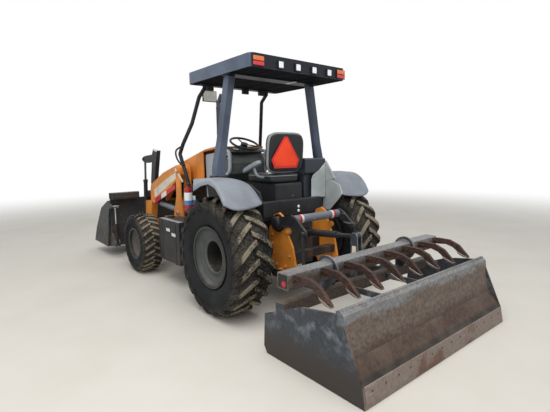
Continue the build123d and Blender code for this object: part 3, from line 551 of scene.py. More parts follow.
def square_to(axis):
    """Unit vectors: the axis itself and two square to it, in right-handed order."""
    axis = unit(np.asarray(axis, float))
    other = (0.0, 0.0, 1.0) if abs(axis[2]) < 0.9 else (0.0, 1.0, 0.0)
    first = unit(np.cross(other, axis))
    return axis, first, np.cross(axis, first)


def full_turn(count):
    """Even steps round a circle, in radians."""
    return np.linspace(0.0, 2 * math.pi, count, endpoint=False)


def powered(value, power):
    """The value's size raised to a power, with the value's sign."""
    return np.sign(value) * np.abs(value) ** power


def hoop(first, second, count):
    """A circle of radius 1 in count points for each pair of rows: the cosine of the turn along
    the first row plus its sine along the second."""
    turn = full_turn(count)[:, None]
    return np.cos(turn) * first[..., None, :] + np.sin(turn) * second[..., None, :]


def turned(base, axis, profile, count=24, loop=False):
    """A turned form: each row of the profile, its distance along the axis from the base and its
    radius, is a ring of count points; loop joins the last ring to the first."""
    axis, first, second = square_to(axis)
    profile = np.asarray(profile, float)[:, None]
    ring = hoop(first, second, count)
    return stack(base + profile[..., :1] * axis + profile[..., 1:] * ring, loop)


def pipe(path, radius, beside=(1.0, 0.0, 0.0), count=12):
    """A round bar: a circle of the radius carried along the path, square to it, its frame taken
    from the path's direction and the beside direction, which the path never follows."""
    path = np.asarray(path, float)
    along = unit(np.gradient(path, axis=0))
    first = unit(np.cross(along, beside))
    return stack(path[:, None] + radius * hoop(first, np.cross(along, first), count))


def plate(outline, origin, right, up, thick, ease):
    """A flat plate: the outline in the plane of right and up, thick towards right cross up, and
    drawn in by ease along both rims. Each point moves along the mean of its two edges' normals."""
    outline = np.asarray(outline, float)
    after = np.roll(outline, -1, axis=0)
    if np.sum(outline[:, 0] * after[:, 1] - outline[:, 1] * after[:, 0]) < 0:
        outline = outline[::-1]
    edge = unit(np.roll(outline, -1, axis=0) - outline)
    left = np.stack([-edge[:, 1], edge[:, 0]], axis=1)
    both = left + np.roll(left, 1, axis=0)
    draw = both / (1.0 + np.sum(left * np.roll(left, 1, axis=0), axis=1, keepdims=True))
    right, up = np.asarray(right, float), np.asarray(up, float)
    rows = []
    for inset, height in ((ease, 0.0), (0.0, ease), (0.0, thick - ease), (ease, thick)):
        flat = outline + draw * inset
        rows.append(
            np.asarray(origin) + flat[:, :1] * right + flat[:, 1:] * up
            + height * np.cross(right, up)
        )
    return stack(rows)


def rounded(width, height, radius, middle=(0.0, 0.0)):
    """A rectangle's outline with quarter circles of five points at its corners."""
    turn = np.linspace(0.0, math.pi / 2, 5)
    points = []
    for corner, (side, rise) in enumerate(((1, 1), (-1, 1), (-1, -1), (1, -1))):
        angle = turn + corner * math.pi / 2
        points.append(np.stack([
            middle[0] + side * (width / 2 - radius) + radius * np.cos(angle),
            middle[1] + rise * (height / 2 - radius) + radius * np.sin(angle),
        ], axis=1))
    return np.concatenate(points)


def smooth_line(corners, count):
    """Points at even steps of length on a line whose corners are cut three times: each cut puts
    two points on every span, a quarter of it from either end, and drops the corners between."""
    line = np.asarray(corners, float)
    for _ in range(3):
        first, second = line[:-1], line[1:]
        cut = np.stack([0.75 * first + 0.25 * second, 0.25 * first + 0.75 * second], axis=1)
        line = np.concatenate([line[:1], cut.reshape(-1, line.shape[1]), line[-1:]])
    gone = np.concatenate([[0.0], np.cumsum(np.linalg.norm(np.diff(line, axis=0), axis=1))])
    steps = np.linspace(0.0, gone[-1], count)
    return np.stack([np.interp(steps, gone, line[:, axis]) for axis in range(line.shape[1])], 1)


ACROSS, AHEAD, UP = np.eye(3)
frame_grey = moulded("frame_grey", shade(190, 195, 200), 220.0, 0.5, 0.15)
# The frame's line in metres, seen from the side: ahead of the rear axle and up.
rim_line = smooth_line(np.array([
    (848, 1400), (700, 1425), (682, 1560), (692, 1700), (760, 1712), (850, 1712),
]) / 1000, 26)
trims = []
for side in (-1, 1):
    path = np.stack([
        np.full(len(rim_line), side * 0.284), rim_line[:, 0] + REAR_AXLE, rim_line[:, 1]
    ], axis=1)
    trims.append(pipe(path, 0.022, count=14))
    trims.append(plate(
        rounded(0.150, 0.070, 0.016), spot(side * 290, 790, 1640), (0, -side, 0), UP, 0.004, 0.0015
    ))
add("dash_frame", trims, frame_grey, smooth=True)
# The top of the dash slopes up ahead, and the dials stand this far from its middle, in millimetres.
DIALS = (-110, 110)
slope = unit(np.array([0.0, -0.42, 0.91]))
lean = np.cross(slope, ACROSS)
board = [plate(rounded(0.46, 0.15, 0.03), spot(0, 815, 1700), ACROSS, lean, 0.030, 0.008)]
for place in DIALS:
    board.append(turned(
        spot(place, 812, 1726), slope,
        [(0.0, 0.056), (0.010, 0.056), (0.014, 0.052), (0.014, 0.047), (0.004, 0.046)], 32,
    ))
for number in range(5):
    board.append(plate(
        rounded(0.020, 0.032, 0.004), spot(-290, 735 + number * 26, 1641) - (0.0041, 0, 0),
        (0, 1, 0), UP, -0.005, -0.0015,
    ))
board.append(turned(
    spot(185, 800, 1718), slope, [(0.0, 0.014), (0.012, 0.014), (0.014, 0.010)], 16
))
add("dash_board", board, plastic)
dial_face, dial_shader, at, facing = blank("dial_face")
ticks = at.node("ShaderNodeTexVoronoi", {}, {"Vector": at, "Scale": 120.0})
feed(
    dial_shader, Base_Color=ticks.rise(0.1, 0.5).blend(shade(214, 216, 210), shade(196, 198, 194)),
    Roughness=0.3,
)
dial_plates = [
    turned(spot(place, 810, 1731), slope, [(0.0, 0.044), (0.0015, 0.044), (0.002, 0.043)], 32)
    for place in DIALS
]
add("dash_dials", dial_plates, dial_face)


# The seat is a sprung industrial one: a crowned base pad and a round-topped, hollowed back pad of
# black vinyl over foam, both edged with grey piping, with a thin moulded shell behind the back
# and a padded arm rest on a bent post.
def pad(centre, half, corner, crown, pull, hollow, channels, turn=96, rise=40):
    """A cushion. Rings of a superellipse with the corner exponent grow and shrink from bottom to
    top with the crown exponent; each side is drawn in between its corners by pull, the top sinks
    by hollow towards its middle, and by a soft groove at each channel's place across it."""
    around = full_turn(turn)
    swell = np.linspace(-0.5 * math.pi + 0.06, 0.5 * math.pi - 0.06, rise)[:, None]
    size = np.cos(swell) ** crown
    drawn = 1.0 - pull * np.cos(2 * around) ** 2 * np.cos(swell) ** 2
    x = half[0] * size * drawn * powered(np.cos(around), corner)
    y = half[1] * size * drawn * powered(np.sin(around), corner)
    z = half[2] * powered(np.sin(swell), crown) + 0 * x
    top = np.clip(z / half[2], 0.0, 1.0)
    inner = np.clip(1.0 - (x / half[0]) ** 2, 0, 1) * np.clip(1.0 - (y / half[1]) ** 2, 0, 1)
    z = z - hollow * top * inner
    for place, wide_groove, depth in channels:
        z = z - depth * top * np.exp(-((y - place) / wide_groove) ** 2)
    return stack(np.stack([x, y, z], axis=-1) + np.asarray(centre))


def lean_back(points, foot, angle):
    """Stands a flat cushion up on its front edge: y becomes height and z faces ahead, and leans."""
    x, y, z = points[:, 0], points[:, 1], points[:, 2]
    ahead, up = z * math.cos(angle) - y * math.sin(angle), y * math.cos(angle) + z * math.sin(angle)
    return np.stack([x, ahead, up], axis=1) + foot


CUSHION, BACK, BACK_LEAN = spot(-35, 155, 1392), spot(-25, -40, 1676), 0.10
seat_vinyl = moulded("seat_vinyl", shade(38, 40, 44), 320.0, 0.48, 0.18)
piping_grey = moulded("piping_grey", shade(150, 156, 158), 260.0, 0.5, 0.2)
base_pad = pad(
    CUSHION, (0.220, 0.245, 0.062), 0.34, 0.42, 0.035, 0.016,
    ((-0.08, 0.006, 0.006), (0.09, 0.006, 0.006)),
)
cushion = add("seat_base_pad", [base_pad], seat_vinyl, smooth=True)
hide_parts("seat_cushion")
points, faces = pad(
    (0.0, 0.0, 0.0), (0.258, 0.222, 0.050), 0.46, 0.42, 0.03, 0.020,
    ((-0.05, 0.006, 0.005), (0.06, 0.006, 0.005)),
)
back_pad = lean_back(points, BACK, BACK_LEAN), faces
rest = add("seat_back_pad", [back_pad], seat_vinyl, smooth=True)
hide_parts("seat_back")


def loop_bar(path, radius, count=10):
    """A closed round cord of this radius along a closed path that lies near a plane: the path's
    middle gives each point's outward direction, and the cord's circle stands square to it."""
    along = unit(np.roll(path, -1, axis=0) - np.roll(path, 1, axis=0))
    out = path - path.mean(axis=0)
    out = unit(out - along * np.sum(out * along, axis=1, keepdims=True))
    return stack(path[:, None] + radius * hoop(out, np.cross(along, out), count), True)


def outline_of(half, corner, pull, height):
    """The widest ring of a pad, at this height above its middle: the pad's superellipse with the
    same corner exponent and the same pull between its corners."""
    around = full_turn(96)
    drawn = 1.0 - pull * np.cos(2 * around) ** 2
    return np.stack([
        half[0] * drawn * powered(np.cos(around), corner),
        half[1] * drawn * powered(np.sin(around), corner), np.full(96, height),
    ], axis=1)


base_line = outline_of((0.216, 0.240), 0.34, 0.035, 0.024) + CUSHION
back_line = lean_back(outline_of((0.256, 0.220), 0.46, 0.03, -0.020), BACK, BACK_LEAN)
cords = [loop_bar(base_line, 0.006), loop_bar(back_line, 0.015)]
add("seat_piping", cords, piping_grey, smooth=True)
points, faces = pad((0.0, 0.0, 0.0), (0.250, 0.214, 0.022), 0.46, 0.30, 0.02, 0.0, (), 64, 16)
moulding = lean_back(points, spot(-25, -84, 1672), 0.08), faces
add("seat_back_shell", [moulding], plastic, smooth=True)
arm_grey = moulded("arm_grey", shade(156, 161, 165), 220.0, 0.5, 0.25)
points, faces = pad((0.0, 0.0, 0.0), (0.038, 0.168, 0.030), 0.6, 0.5, 0.02, 0.003, (), 48, 20)
fall = math.radians(-20.5)
dip = np.array([
    (1.0, 0.0, 0.0), (0.0, math.cos(fall), math.sin(fall)), (0.0, -math.sin(fall), math.cos(fall))
])
arm = points @ dip + spot(-345, 145, 1520), faces
post = pipe(
    smooth_line([
        spot(-235, 60, 1400), spot(-320, 60, 1410), spot(-345, 75, 1450), spot(-345, 100, 1520)
    ], 14), 0.016, AHEAD,
)
arm_rest = add("seat_arm_rest", [arm, post], arm_grey, smooth=True)
tag_white = moulded("tag_white", shade(226, 228, 226), 220.0, 0.45, 0.15)
seat_tag = plate(rounded(0.044, 0.060, 0.006), spot(-236, -30, 1472), ACROSS, UP, 0.010, 0.003)
add("seat_tag", [seat_tag], tag_white)


# Each rear fender is one pressed steel cover over the tyre: level from the front, turned down
# behind the axle, its outer edge rolled down. Its inner wall stands on the platform, a bolted foot
# plate on top carries the roof post, and light-grey sheet panels close the side console.
def bolt(centre, axis, size):
    """A hexagon bolt head of this width across corners on its washer, its top edge chamfered."""
    head = [(0.14, 0.5), (0.5, 0.5), (0.6, 0.4)]
    washer = [(0.0, 0.78), (0.12, 0.78), (0.14, 0.72)]
    return gather([
        turned(centre, axis, np.array(washer) * size, 16),
        turned(centre, axis, np.array(head) * size, 6),
    ])


def fender_form(side):
    """The cover. Rows of seven numbers, eased from the platform outwards, give x and the front,
    the knee and the end of the crown; it is straight to the knee and then the quadratic curve
    that leaves the knee straight on and is as far from its control point at both ends."""
    rows = smooth_line(np.array([
        (609, 724, 1380, 60, 1390, -385, 1170), (700, 690, 1392, 45, 1414, -408, 1150),
        (860, 560, 1396, 35, 1432, -432, 1136), (960, 380, 1390, 40, 1430, -430, 1140),
        (1030, 250, 1362, 55, 1408, -412, 1172), (1054, 215, 1345, 60, 1396, -402, 1190),
        (1060, 205, 1322, 60, 1374, -396, 1186), (1062, 200, 1296, 60, 1350, -388, 1176),
    ]) / 1000, 44)
    front, knee, end = rows[:, None, 1:3], rows[:, None, 3:5], rows[:, None, 5:7]
    run = unit(knee - front)
    chord = end - knee
    reach = np.sum(chord ** 2, axis=2, keepdims=True)
    bend = knee + run * reach / (2 * np.sum(run * chord, axis=2, keepdims=True))
    level = np.linspace(0.0, 1.0, 12)[:, None]
    down = np.linspace(0.0, 1.0, 30)[1:, None]
    curve = np.concatenate([
        front + (knee - front) * level,
        knee * (1 - down) ** 2 + bend * 2 * down * (1 - down) + end * down ** 2,
    ], axis=1)
    along = unit(np.gradient(curve, axis=1))
    inner = curve + 0.014 * np.stack([-along[..., 1], along[..., 0]], axis=-1)
    ring = np.concatenate([curve, inner[:, ::-1]], axis=1)
    x = np.broadcast_to(side * rows[:, None, :1], ring.shape[:2] + (1,))
    rows = np.concatenate([x, ring[..., :1] + REAR_AXLE, ring[..., 1:]], axis=2)
    return stack(rows if side < 0 else rows[::-1])


# Outlines in metres. The wall's and the console wing's are seen from the side, ahead of the rear
# axle and up, and the panel's is seen from behind, across and up.
WALL = np.array([
    (724, 1372), (320, 1388), (20, 1388), (-180, 1352), (-335, 1280), (-372, 1180),
    (-300, 1100), (-170, 970), (640, 970),
]) / 1000
WING = np.array([
    (170, 1130), (170, 1385), (90, 1430), (-109, 1574), (-259, 1365), (-60, 1300), (47, 1131),
]) / 1000
PANEL = np.array([
    (345, 1132), (345, 1352), (372, 1405), (474, 1461), (582, 1553), (582, 1132),
]) / 1000
wing_grey = painted("wing_grey", shade(186, 192, 192), STEEL, 0.45, 0.15, 0.74, 0.1)
# The left wall is painted black as the shade under the left fender; the right one has the
# light-grey wing paint.
for side, name, wall_paint_and_shade in ((-1, "left", black), (1, "right", wing_grey)):
    inner = spot(min(side * 609, side * 589), 0, 0)
    cover = add(name + "_fender_cover", [fender_form(side)], grey, smooth=True)
    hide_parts(name + "_fender")
    edged = [plate(WALL, inner, AHEAD, UP, 0.020, 0.005)]
    edged.append(plate(
        rounded(0.165, 0.125, 0.012), spot(side * 756, 180, 1412), ACROSS, AHEAD, 0.021, 0.004
    ))
    for x, y in ((690, 130), (822, 130), (690, 230), (822, 230)):
        edged.append(bolt(spot(side * x, y, 1433), UP, 0.022))
    add(name + "_fender_wall", edged, wall_paint_and_shade)
sheets = [
    plate(WING, spot(586, 0, 0), AHEAD, UP, 0.022, 0.004),
    plate(PANEL, spot(0, -100.2, 0), ACROSS, UP, 0.011, 0.003),
]
add("console_wing", sheets, wing_grey)


# The rear roof posts are folded from plate as flat boxes that lean in and widen to the foot, and
# each is welded to a foot plate. A round grab bar is welded to the left front post's elbow.
# The right post's outline in metres, seen from behind: across and up.
POST = np.array([
    (688, 1433), (691, 1520), (684, 1600), (651, 1800), (532, 2499.7), (640, 2499.7),
    (760, 1800), (808, 1610), (823, 1530), (826, 1433),
]) / 1000
posts = []
for side in (-1, 1):
    posts.append(plate(POST * (side, 1), spot(0, 225, 0), ACROSS, UP, 0.090, 0.018))
    posts.append(plate(
        rounded(0.15, 0.10, 0.01), spot(side * 757, 180, 1433), ACROSS, AHEAD, 0.014, 0.004
    ))
rear_posts = add("rear_post_boxes", posts, canopy)
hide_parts("roof_posts_rear")
grab = pipe(smooth_line([
    spot(-640, 1215, 1530), spot(-690, 1240, 1560), spot(-706, 1300, 1640), spot(-690, 1345, 1730),
    spot(-640, 1290, 1770),
], 24), 0.011)
add("grab_loop", [grab], black, smooth=True)


# The roof is closed below by a moulded ceiling, a thin domed sheet with pressed ribs that is
# clipped into the roof's rim. Its near-black navy is dark plastic painted darker still as the
# shade under the roof. A small blank label is stuck to its front left part.
LINES = 61
LAST = LINES - 1
evenly = np.linspace(-1, 1, LINES)
wide, deep = (powered(part, 0.9) for part in np.meshgrid(evenly, evenly, indexing="ij"))
dome = np.clip(1 - wide ** 8, 0, 1) * np.clip(1 - deep ** 8, 0, 1)
ribs = 0.006 * np.exp(-((np.mod(wide * 3.0, 1.0) - 0.5) / 0.10) ** 2) * dome
under = np.stack([
    wide * 0.662, REAR_AXLE + 0.310 + deep * 0.622, 2.5035 + 0.010 * dome - ribs
], axis=-1)
over = under + (0.0, 0.0, 0.006)
border = np.concatenate([
    np.arange(LINES) * LINES, LAST * LINES + np.arange(1, LINES),
    np.arange(LAST - 1, -1, -1) * LINES + LAST, np.arange(LAST - 1, 0, -1),
])
after = np.roll(border, -1)
lower = [face[::-1] for face in patch(LINES, LINES)]
upper = patch(LINES, LINES, start=LINES ** 2)
rim_faces = np.stack([border, after, after + LINES ** 2, border + LINES ** 2], axis=1).tolist()
sheet = np.concatenate([under.reshape(-1, 3), over.reshape(-1, 3)]), lower + upper + rim_faces
# Dark plastic and painted shade in one colour: the ceiling is darkened for the shade under the
# roof.
ceiling_dark_and_shade = moulded("ceiling_dark_and_shade", shade(13, 17, 27), 120.0, 0.85, 0.0, 0.05)
add("roof_ceiling", [sheet], ceiling_dark_and_shade, smooth=True)
label_white = painted("label_white", shade(226, 226, 222), STEEL, 0.5, 0.2, 0.8, 0.1)
label = plate(rounded(0.16, 0.05, 0.004), spot(263, 151, 2501), AHEAD, ACROSS, 0.003, 0.001)
add("ceiling_label", [label], label_white)


# Square work lamps are set into the rear edge of the roof and hang on studs under its front edge,
# and an amber over red tail lamp closes each rear corner. Every lens is pressed in fine ribs.
def lens(name, colours, edge, painted_glow):
    """Ribbed plastic lens: two colours told apart by height, ribs across in the bump, a clear coat
    over them, a darker tone painted where ribs and rows peak as the ribs' shade, and a faint
    painted glow of the first colour that stands for light caught in the lens."""
    material, shader, at, facing = blank(name)
    along = at.part(0)
    height = at.part(2)
    ribs = (along * 900.0).math("SINE") * 0.5 + 0.5
    rows = (height * 700.0).math("SINE") * 0.5 + 0.5
    coat = height.rise(edge - 0.001, edge + 0.001).blend(*colours)
    # Painted shade: the colour is darker in a grid on the ribs, for the shade of their grooves.
    coat = (ribs * rows * 0.35).blend(coat, tuple(0.55 * value for value in colours[0]))
    bump = (ribs + rows).relief(0.3, 0.001)
    feed(
        shader, Base_Color=coat, Roughness=0.18 + at.noise(20.0) * 0.1, Normal=bump,
        Coat_Weight=0.6, Emission_Color=colours[0], Emission_Strength=painted_glow,
    )
    return material


# The white lenses glow faintly: painted light caught in the unlit lamps' lenses and the reflectors.
white_lens = lens("lens_white", (shade(226, 230, 234), shade(236, 239, 242)), 2.0, 0.08)
tail_lens = lens("lens_tail", (shade(206, 34, 52), shade(226, 112, 30)), 2.553, 0.0)
dress(black, "work_lamps", "tail_lamps")
clear_lenses, tail_lenses, cases = [], [], []
for x in (-310, -75, 160, 395):
    clear_lenses.append(plate(
        rounded(0.058, 0.062, 0.006), spot(x, -345, 2550), ACROSS, UP, 0.007, 0.0032
    ))
    cases.append(plate(
        rounded(0.078, 0.082, 0.010), spot(x, -344, 2550), ACROSS, UP, 0.003, 0.001
    ))
for x in (-400, -133, 133, 400):
    clear_lenses.append(plate(
        rounded(0.07, 0.036, 0.006), spot(x, 931, 2475), -ACROSS, UP, 0.007, 0.003
    ))
    cases.append(pipe([spot(x, 912, 2500), spot(x, 912, 2508)], 0.012, AHEAD))
for side in (-1, 1):
    for low, high in ((2511, 2550), (2556, 2599)):
        tail_lenses.append(plate(
            rounded(0.128, (high - low) / 1000, 0.006), spot(side * 590, -340, (low + high) / 2),
            ACROSS, UP, 0.009, 0.004,
        ))
add("work_lamp_lenses", clear_lenses, white_lens)
add("tail_lamp_lenses", tail_lenses, tail_lens)
add("lamp_cases", cases, plastic)


# The mirror is a small flat glass pressed into a black case under the roof. The exhaust stack is a
# steel tube inside a thin rolled guard with three beads, slipped over it from above.
# The mirror's glass is painted pale cream-white with darker spots: a painted reflection of the
# bright sky.
glass, glass_shader, at, facing = blank("mirror_painted_reflection")
spots = at.noise(14.0, 4.0).rise(0.5, 0.8)
feed(
    glass_shader, Base_Color=spots.blend(shade(236, 236, 224), shade(206, 206, 190)),
    Roughness=0.2 + spots * 0.3, Metallic=0.2,
)
silvered = plate(rounded(0.184, 0.124, 0.012), spot(-300, 1091, 2410), ACROSS, UP, 0.003, 0.001)
add("mirror_glass", [silvered], glass)
guard_steel = painted("guard_black", shade(62, 67, 76), RUST, 0.4, 0.15, 0.7, 0.3)
dress(guard_steel, "exhaust_stack")
guard = turned(
    spot(418, 2060, 1560), UP,
    [(0.0, 0.0375), (0.0, 0.0345), (0.86, 0.0345), (0.86, 0.0375), (0.84, 0.0395), (0.82, 0.0375),
     (0.46, 0.0375), (0.44, 0.0395), (0.42, 0.0375), (0.04, 0.0375), (0.02, 0.0395)], 32, True,
)
add("exhaust_guard", [guard], guard_steel, smooth=True)


# The boom carries a plain cream band along each side. A red steel safety strut with a white mark is
# pinned along the left arm, chromed pin heads close the bosses, bolts hold the towers to the
# frame, and two steel oil pipes run along the left arm's inner face.
cream = painted("cream_band", shade(226, 216, 196), STEEL, 0.5, 0.25, 0.72, 0.2)
red = painted("red_paint", shade(196, 36, 48), STEEL, 0.6, 0.15, 0.74, 0.2)
# Outlines in metres, seen from the side: ahead of the rear axle and up.
BAND = np.array([
    (1600, 1444), (2003, 1309), (2405, 1152), (2421, 1130), (2398, 1030), (2380, 1024),
    (2011, 1184), (1600, 1364),
]) / 1000
STRUT = np.array([
    (1674, 1190), (1668, 1225), (1680, 1259), (2376, 1022), (2392, 1000), (2392, 955),
    (2376, 936),
]) / 1000
# The pins' places in millimetres, ahead of the rear axle and up.
BOOM_PIN, LIFT_FOOT, LIFT_TIP = (1530, 1460), (1560, 880), (2430, 950)
bands, pins, top_pins = [], [], []
# A plate grows to the right, so on the left side the band starts its own thickness further out.
for side in (-1, 1):
    bands.append(plate(
        BAND, spot(side * 560 - (1.2 if side < 0 else 0), 0, 0), AHEAD, UP, 0.0012, 0.0004
    ))
    for store, pin, out, size in (
        (pins, BOOM_PIN, 602, 0.030), (pins, LIFT_FOOT, 598, 0.026),
        (top_pins, LIFT_TIP, 574, 0.024),
    ):
        store.append(turned(
            spot(side * out, *pin), (side, 0, 0),
            [(0.0, size), (0.010, size), (0.014, size * 0.8)], 24,
        ))
add("boom_bands", bands, cream, "boom_body")
strut = plate(STRUT, spot(-572, 0, 0), AHEAD, UP, 0.0118, 0.003)
add("boom_strut", [strut], red, "boom_body")
strut_mark = plate(
    np.array([(1956, 1090), (1956, 1160), (2137, 1098), (2137, 1024)]) / 1000,
    spot(-572.8, 0, 0), AHEAD, UP, 0.0012, 0.0004,
)
add("strut_mark", [strut_mark], label_white, "boom_body")
caps = []
for side in (-1, 1):
    caps.append(plate(
        np.array([(2292, 1739), (2429, 1766), (2440, 1742), (2298, 1714)]) / 1000,
        spot(side * 510 - 31, 0, 0), AHEAD, UP, 0.062, 0.004,
    ))
add("bracket_caps", caps, label_white, "boom_body")
add("tower_pin_heads", pins, chrome)
add("lift_pin_heads", top_pins, chrome, "boom_body")
tower_bolts = []
for side in (-1, 1):
    for y, z in ((1450, 690), (1520, 690), (1590, 690), (1655, 690), (1470, 760), (1640, 760)):
        tower_bolts.append(bolt(spot(side * 586, y, z), (side, 0, 0), 0.026))
add("tower_bolts", tower_bolts, orange)
slant = plate(
    np.array([(1268, 1300), (1232, 1318), (1392, 1452), (1428, 1434)]) / 1000,
    spot(-590, 130, 0), AHEAD, UP, 0.003, 0.001,
)
add("tower_label", [slant], cream)
oil_pipes = [
    pipe(smooth_line([
        spot(-450.5, y, z - drop) for y, z in (
            (1600, 1500), (2050, 1380), (2420, 1230), (2560, 1060), (2620, 800)
        )
    ], 40), 0.009) for drop in (0, 26)
]
add("boom_oil_pipes", oil_pipes, black, "boom_body", smooth=True)
for name, body, base, tip, free, radius in (
    ("lift_glands", "lift_barrels", LIFT_FOOT, LIFT_TIP, 118, 0.043),
    ("tilt_glands", "tilt_barrels", (2933, 530), (2840, 1610), 330, 0.037),
):
    base, tip = np.array(base, float), np.array(tip, float)
    length = np.linalg.norm(tip - base)
    way = (tip - base) / length
    glands = [
        turned(
            spot(side * 510, *(base + way * (length - free - 46))), (0, *way),
            [(0.0, radius - 0.006), (0.004, radius), (0.040, radius), (0.0455, radius - 0.006)], 28,
        ) for side in (-1, 1)
    ]
    add(name, glands, black, body)


# The hitch: black turned hubs cap the rockshaft's pivots on the orange plates, red and white tape
# is wound round the grey cross tube, and bolts hold the plates to the gear case. A nut locks the
# top link's thread, and two round reflectors are screwed to the cross member.
# The rockshaft's axis in millimetres, ahead of the rear axle and up.
ROCKSHAFT = (-300, 935)
hubs, hub_caps, hitch_bolts, tapes_red, tapes_white = [], [], [], [], []
for side in (-1, 1):
    hubs.append(turned(
        spot(side * 331, *ROCKSHAFT), (side, 0, 0),
        [(0.0, 0.092), (0.004, 0.095), (0.0098, 0.095)], 40,
    ))
    hub_caps.append(turned(
        spot(side * 366.5, *ROCKSHAFT), (side, 0, 0),
        [(0.0, 0.072), (0.016, 0.070), (0.028, 0.058), (0.034, 0.036), (0.036, 0.012)], 32,
    ))
    for y, z in ((-190, 600), (-190, 700), (-190, 800), (-260, 480), (-400, 480), (-470, 600)):
        hitch_bolts.append(bolt(spot(side * 330, y, z), (side, 0, 0), 0.028))
    hitch_bolts.append(turned(
        spot(side * 304, -438, 862), (side, 0, 0),
        [(0.0, 0.033), (0.030, 0.034), (0.044, 0.030), (0.050, 0.018)], 28,
    ))
    for start, store in ((210, tapes_white), (240, tapes_red)):
        store.append(turned(
            spot(side * start, -530, 994), (side, 0, 0),
            [(0.0, 0.0432), (0.0, 0.0442), (0.029, 0.0442), (0.029, 0.0432)], 36,
        ))
add("rockshaft_hubs", hubs + hub_caps, black, "rockshaft_body")
add("hitch_bolts", hitch_bolts, orange)
add("tape_red", tapes_red, red, "rockshaft_body", smooth=True)
add("tape_white", tapes_white, label_white, "rockshaft_body", smooth=True)
link_eye, link_way = np.array((-345, 800)), np.array((-0.9967, 0.0814))
link_nut = turned(
    spot(0, *(link_eye + link_way * 480)), (0, *link_way),
    [(0.0, 0.030), (0.030, 0.030), (0.034, 0.024)], 6,
)
add("top_link_nut", [link_nut], black, "top_link_body")
reflectors = [
    turned(spot(64, -180, z), (0, -1, 0), [(0.0, 0.017), (0.006, 0.017), (0.010, 0.011)], 24)
    for z in (1065, 1017)
]
add("crossmember_reflectors", reflectors, white_lens, smooth=True)


# The scraper has a bolt-on cutting edge of pale worn steel along its bottom, held by flush plow
# bolts, a rolled lip on top of the board, and weld beads in its corners. On the ripper each shank
# is held in the tube by two bolts a side, its tip is worn bright, and caps close the tube.
edge_steel = bare_steel(
    "edge_steel", shade(138, 124, 115), shade(124, 96, 82), shade(166, 156, 148), 0.3, 0.35,
    (0.2, 1.0, 1.0),
)
edge = plate(np.array([
    (-2027.5, 4), (-2004.5, 147), (-2005, 152), (-2010, 150), (-2029.8, 36), (-2029.9, 4)
]) / 1000, spot(-1048, 0, 0), AHEAD, UP, 2.096, 0.001)
face_way = np.array([0.0, -0.985, 0.171])
plow_bolts = [
    turned(
        spot(-975 + number * 150, -2017.6, 104), face_way,
        [(-0.006, 0.011), (0.0004, 0.011), (0.0012, 0.009), (0.0008, 0.004)], 20,
    ) for number in range(14)
]
add("scraper_edge", [edge], edge_steel, "box_body")
add("plow_bolts", plow_bolts, bead_steel, "box_body")
beads = []
for side in (-1, 1):
    beads.append(pipe(smooth_line([
        spot(side * 1050, -2003, 20), spot(side * 1050, -1974, 151), spot(side * 1050, -1880, 284),
        spot(side * 1050, -1835, 432), spot(side * 1050, -1822, 560),
    ], 60), 0.006, count=8))
lip = pipe([spot(x, -1803, 604) for x in np.linspace(-1050, 1050, 3)], 0.014, UP, 16)
add("scraper_welds", beads, bead_steel, "box_body", smooth=True)
add("scraper_lip", [lip], scraper_steel, "box_body", smooth=True)
# How far out the shanks stand on either side, in millimetres.
SHANKS = (136, 430, 718, 1014)
shank_pins = []
for x in SHANKS:
    for side in (-1, 1):
        for y in (-1330, -1366):
            shank_pins.append(bolt(spot(side * x - 17, y, 712), (-1, 0, 0), 0.022))
            shank_pins.append(bolt(spot(side * x + 17, y, 712), (1, 0, 0), 0.022))
add("shank_bolts", shank_pins, ripper_steel, "ripper_body")
tips = []
for x in SHANKS:
    for side in (-1, 1):
        tips.append(plate(np.array([
            (-1574, 640), (-1600, 628), (-1700, 590), (-1694, 583), (-1640, 590), (-1590, 612)
        ]) / 1000, spot(side * x - 22, 0, 0), AHEAD, UP, 0.044, 0.004))
add("shank_tips", tips, edge_steel, "ripper_body")
caps, marks = [], []
for side in (-1, 1):
    caps.append(plate(
        rounded(0.108, 0.108, 0.012, (-1.237, 0.682)), spot(side * 1070 - 6, 0, 0), AHEAD, UP,
        0.012, 0.002,
    ))
    marks.append(turned(
        spot(side * 1075.6, -1246, 660), (side, 0, 0),
        [(0.0, 0.024), (0.002, 0.024), (0.003, 0.020)], 28,
    ))
add("ripper_caps", caps, plastic, "ripper_body")
add("ripper_cap_marks", marks, red, "ripper_body")
mast_mark = plate(
    rounded(0.050, 0.16, 0.004), spot(-41, -1080, 690), -AHEAD, UP, 0.0015, 0.0005
)
add("mast_label", [mast_mark], cream, "box_body")


# The slow-vehicle sign is a thin triangle with cut corners, screwed upright behind the seat: an
# orange-red field of film inside a darker red reflective border.
sign_red = painted("sign_red", shade(252, 66, 24), STEEL, 0.4, 0.05, 0.85, 0.03)
border_red = painted("border_red", shade(208, 40, 30), STEEL, 0.6, 0.05, 0.85, 0.03)
dress(border_red, "triangle_sign")
field = plate(np.array([
    (-248, 1597), (-218, 1530), (73, 1530), (103, 1597), (-51, 1826), (-79, 1826)
]) / 1000, spot(0, -125.2, 0), ACROSS, UP, 0.0015, 0.0005)
add("triangle_field", [field], sign_red)


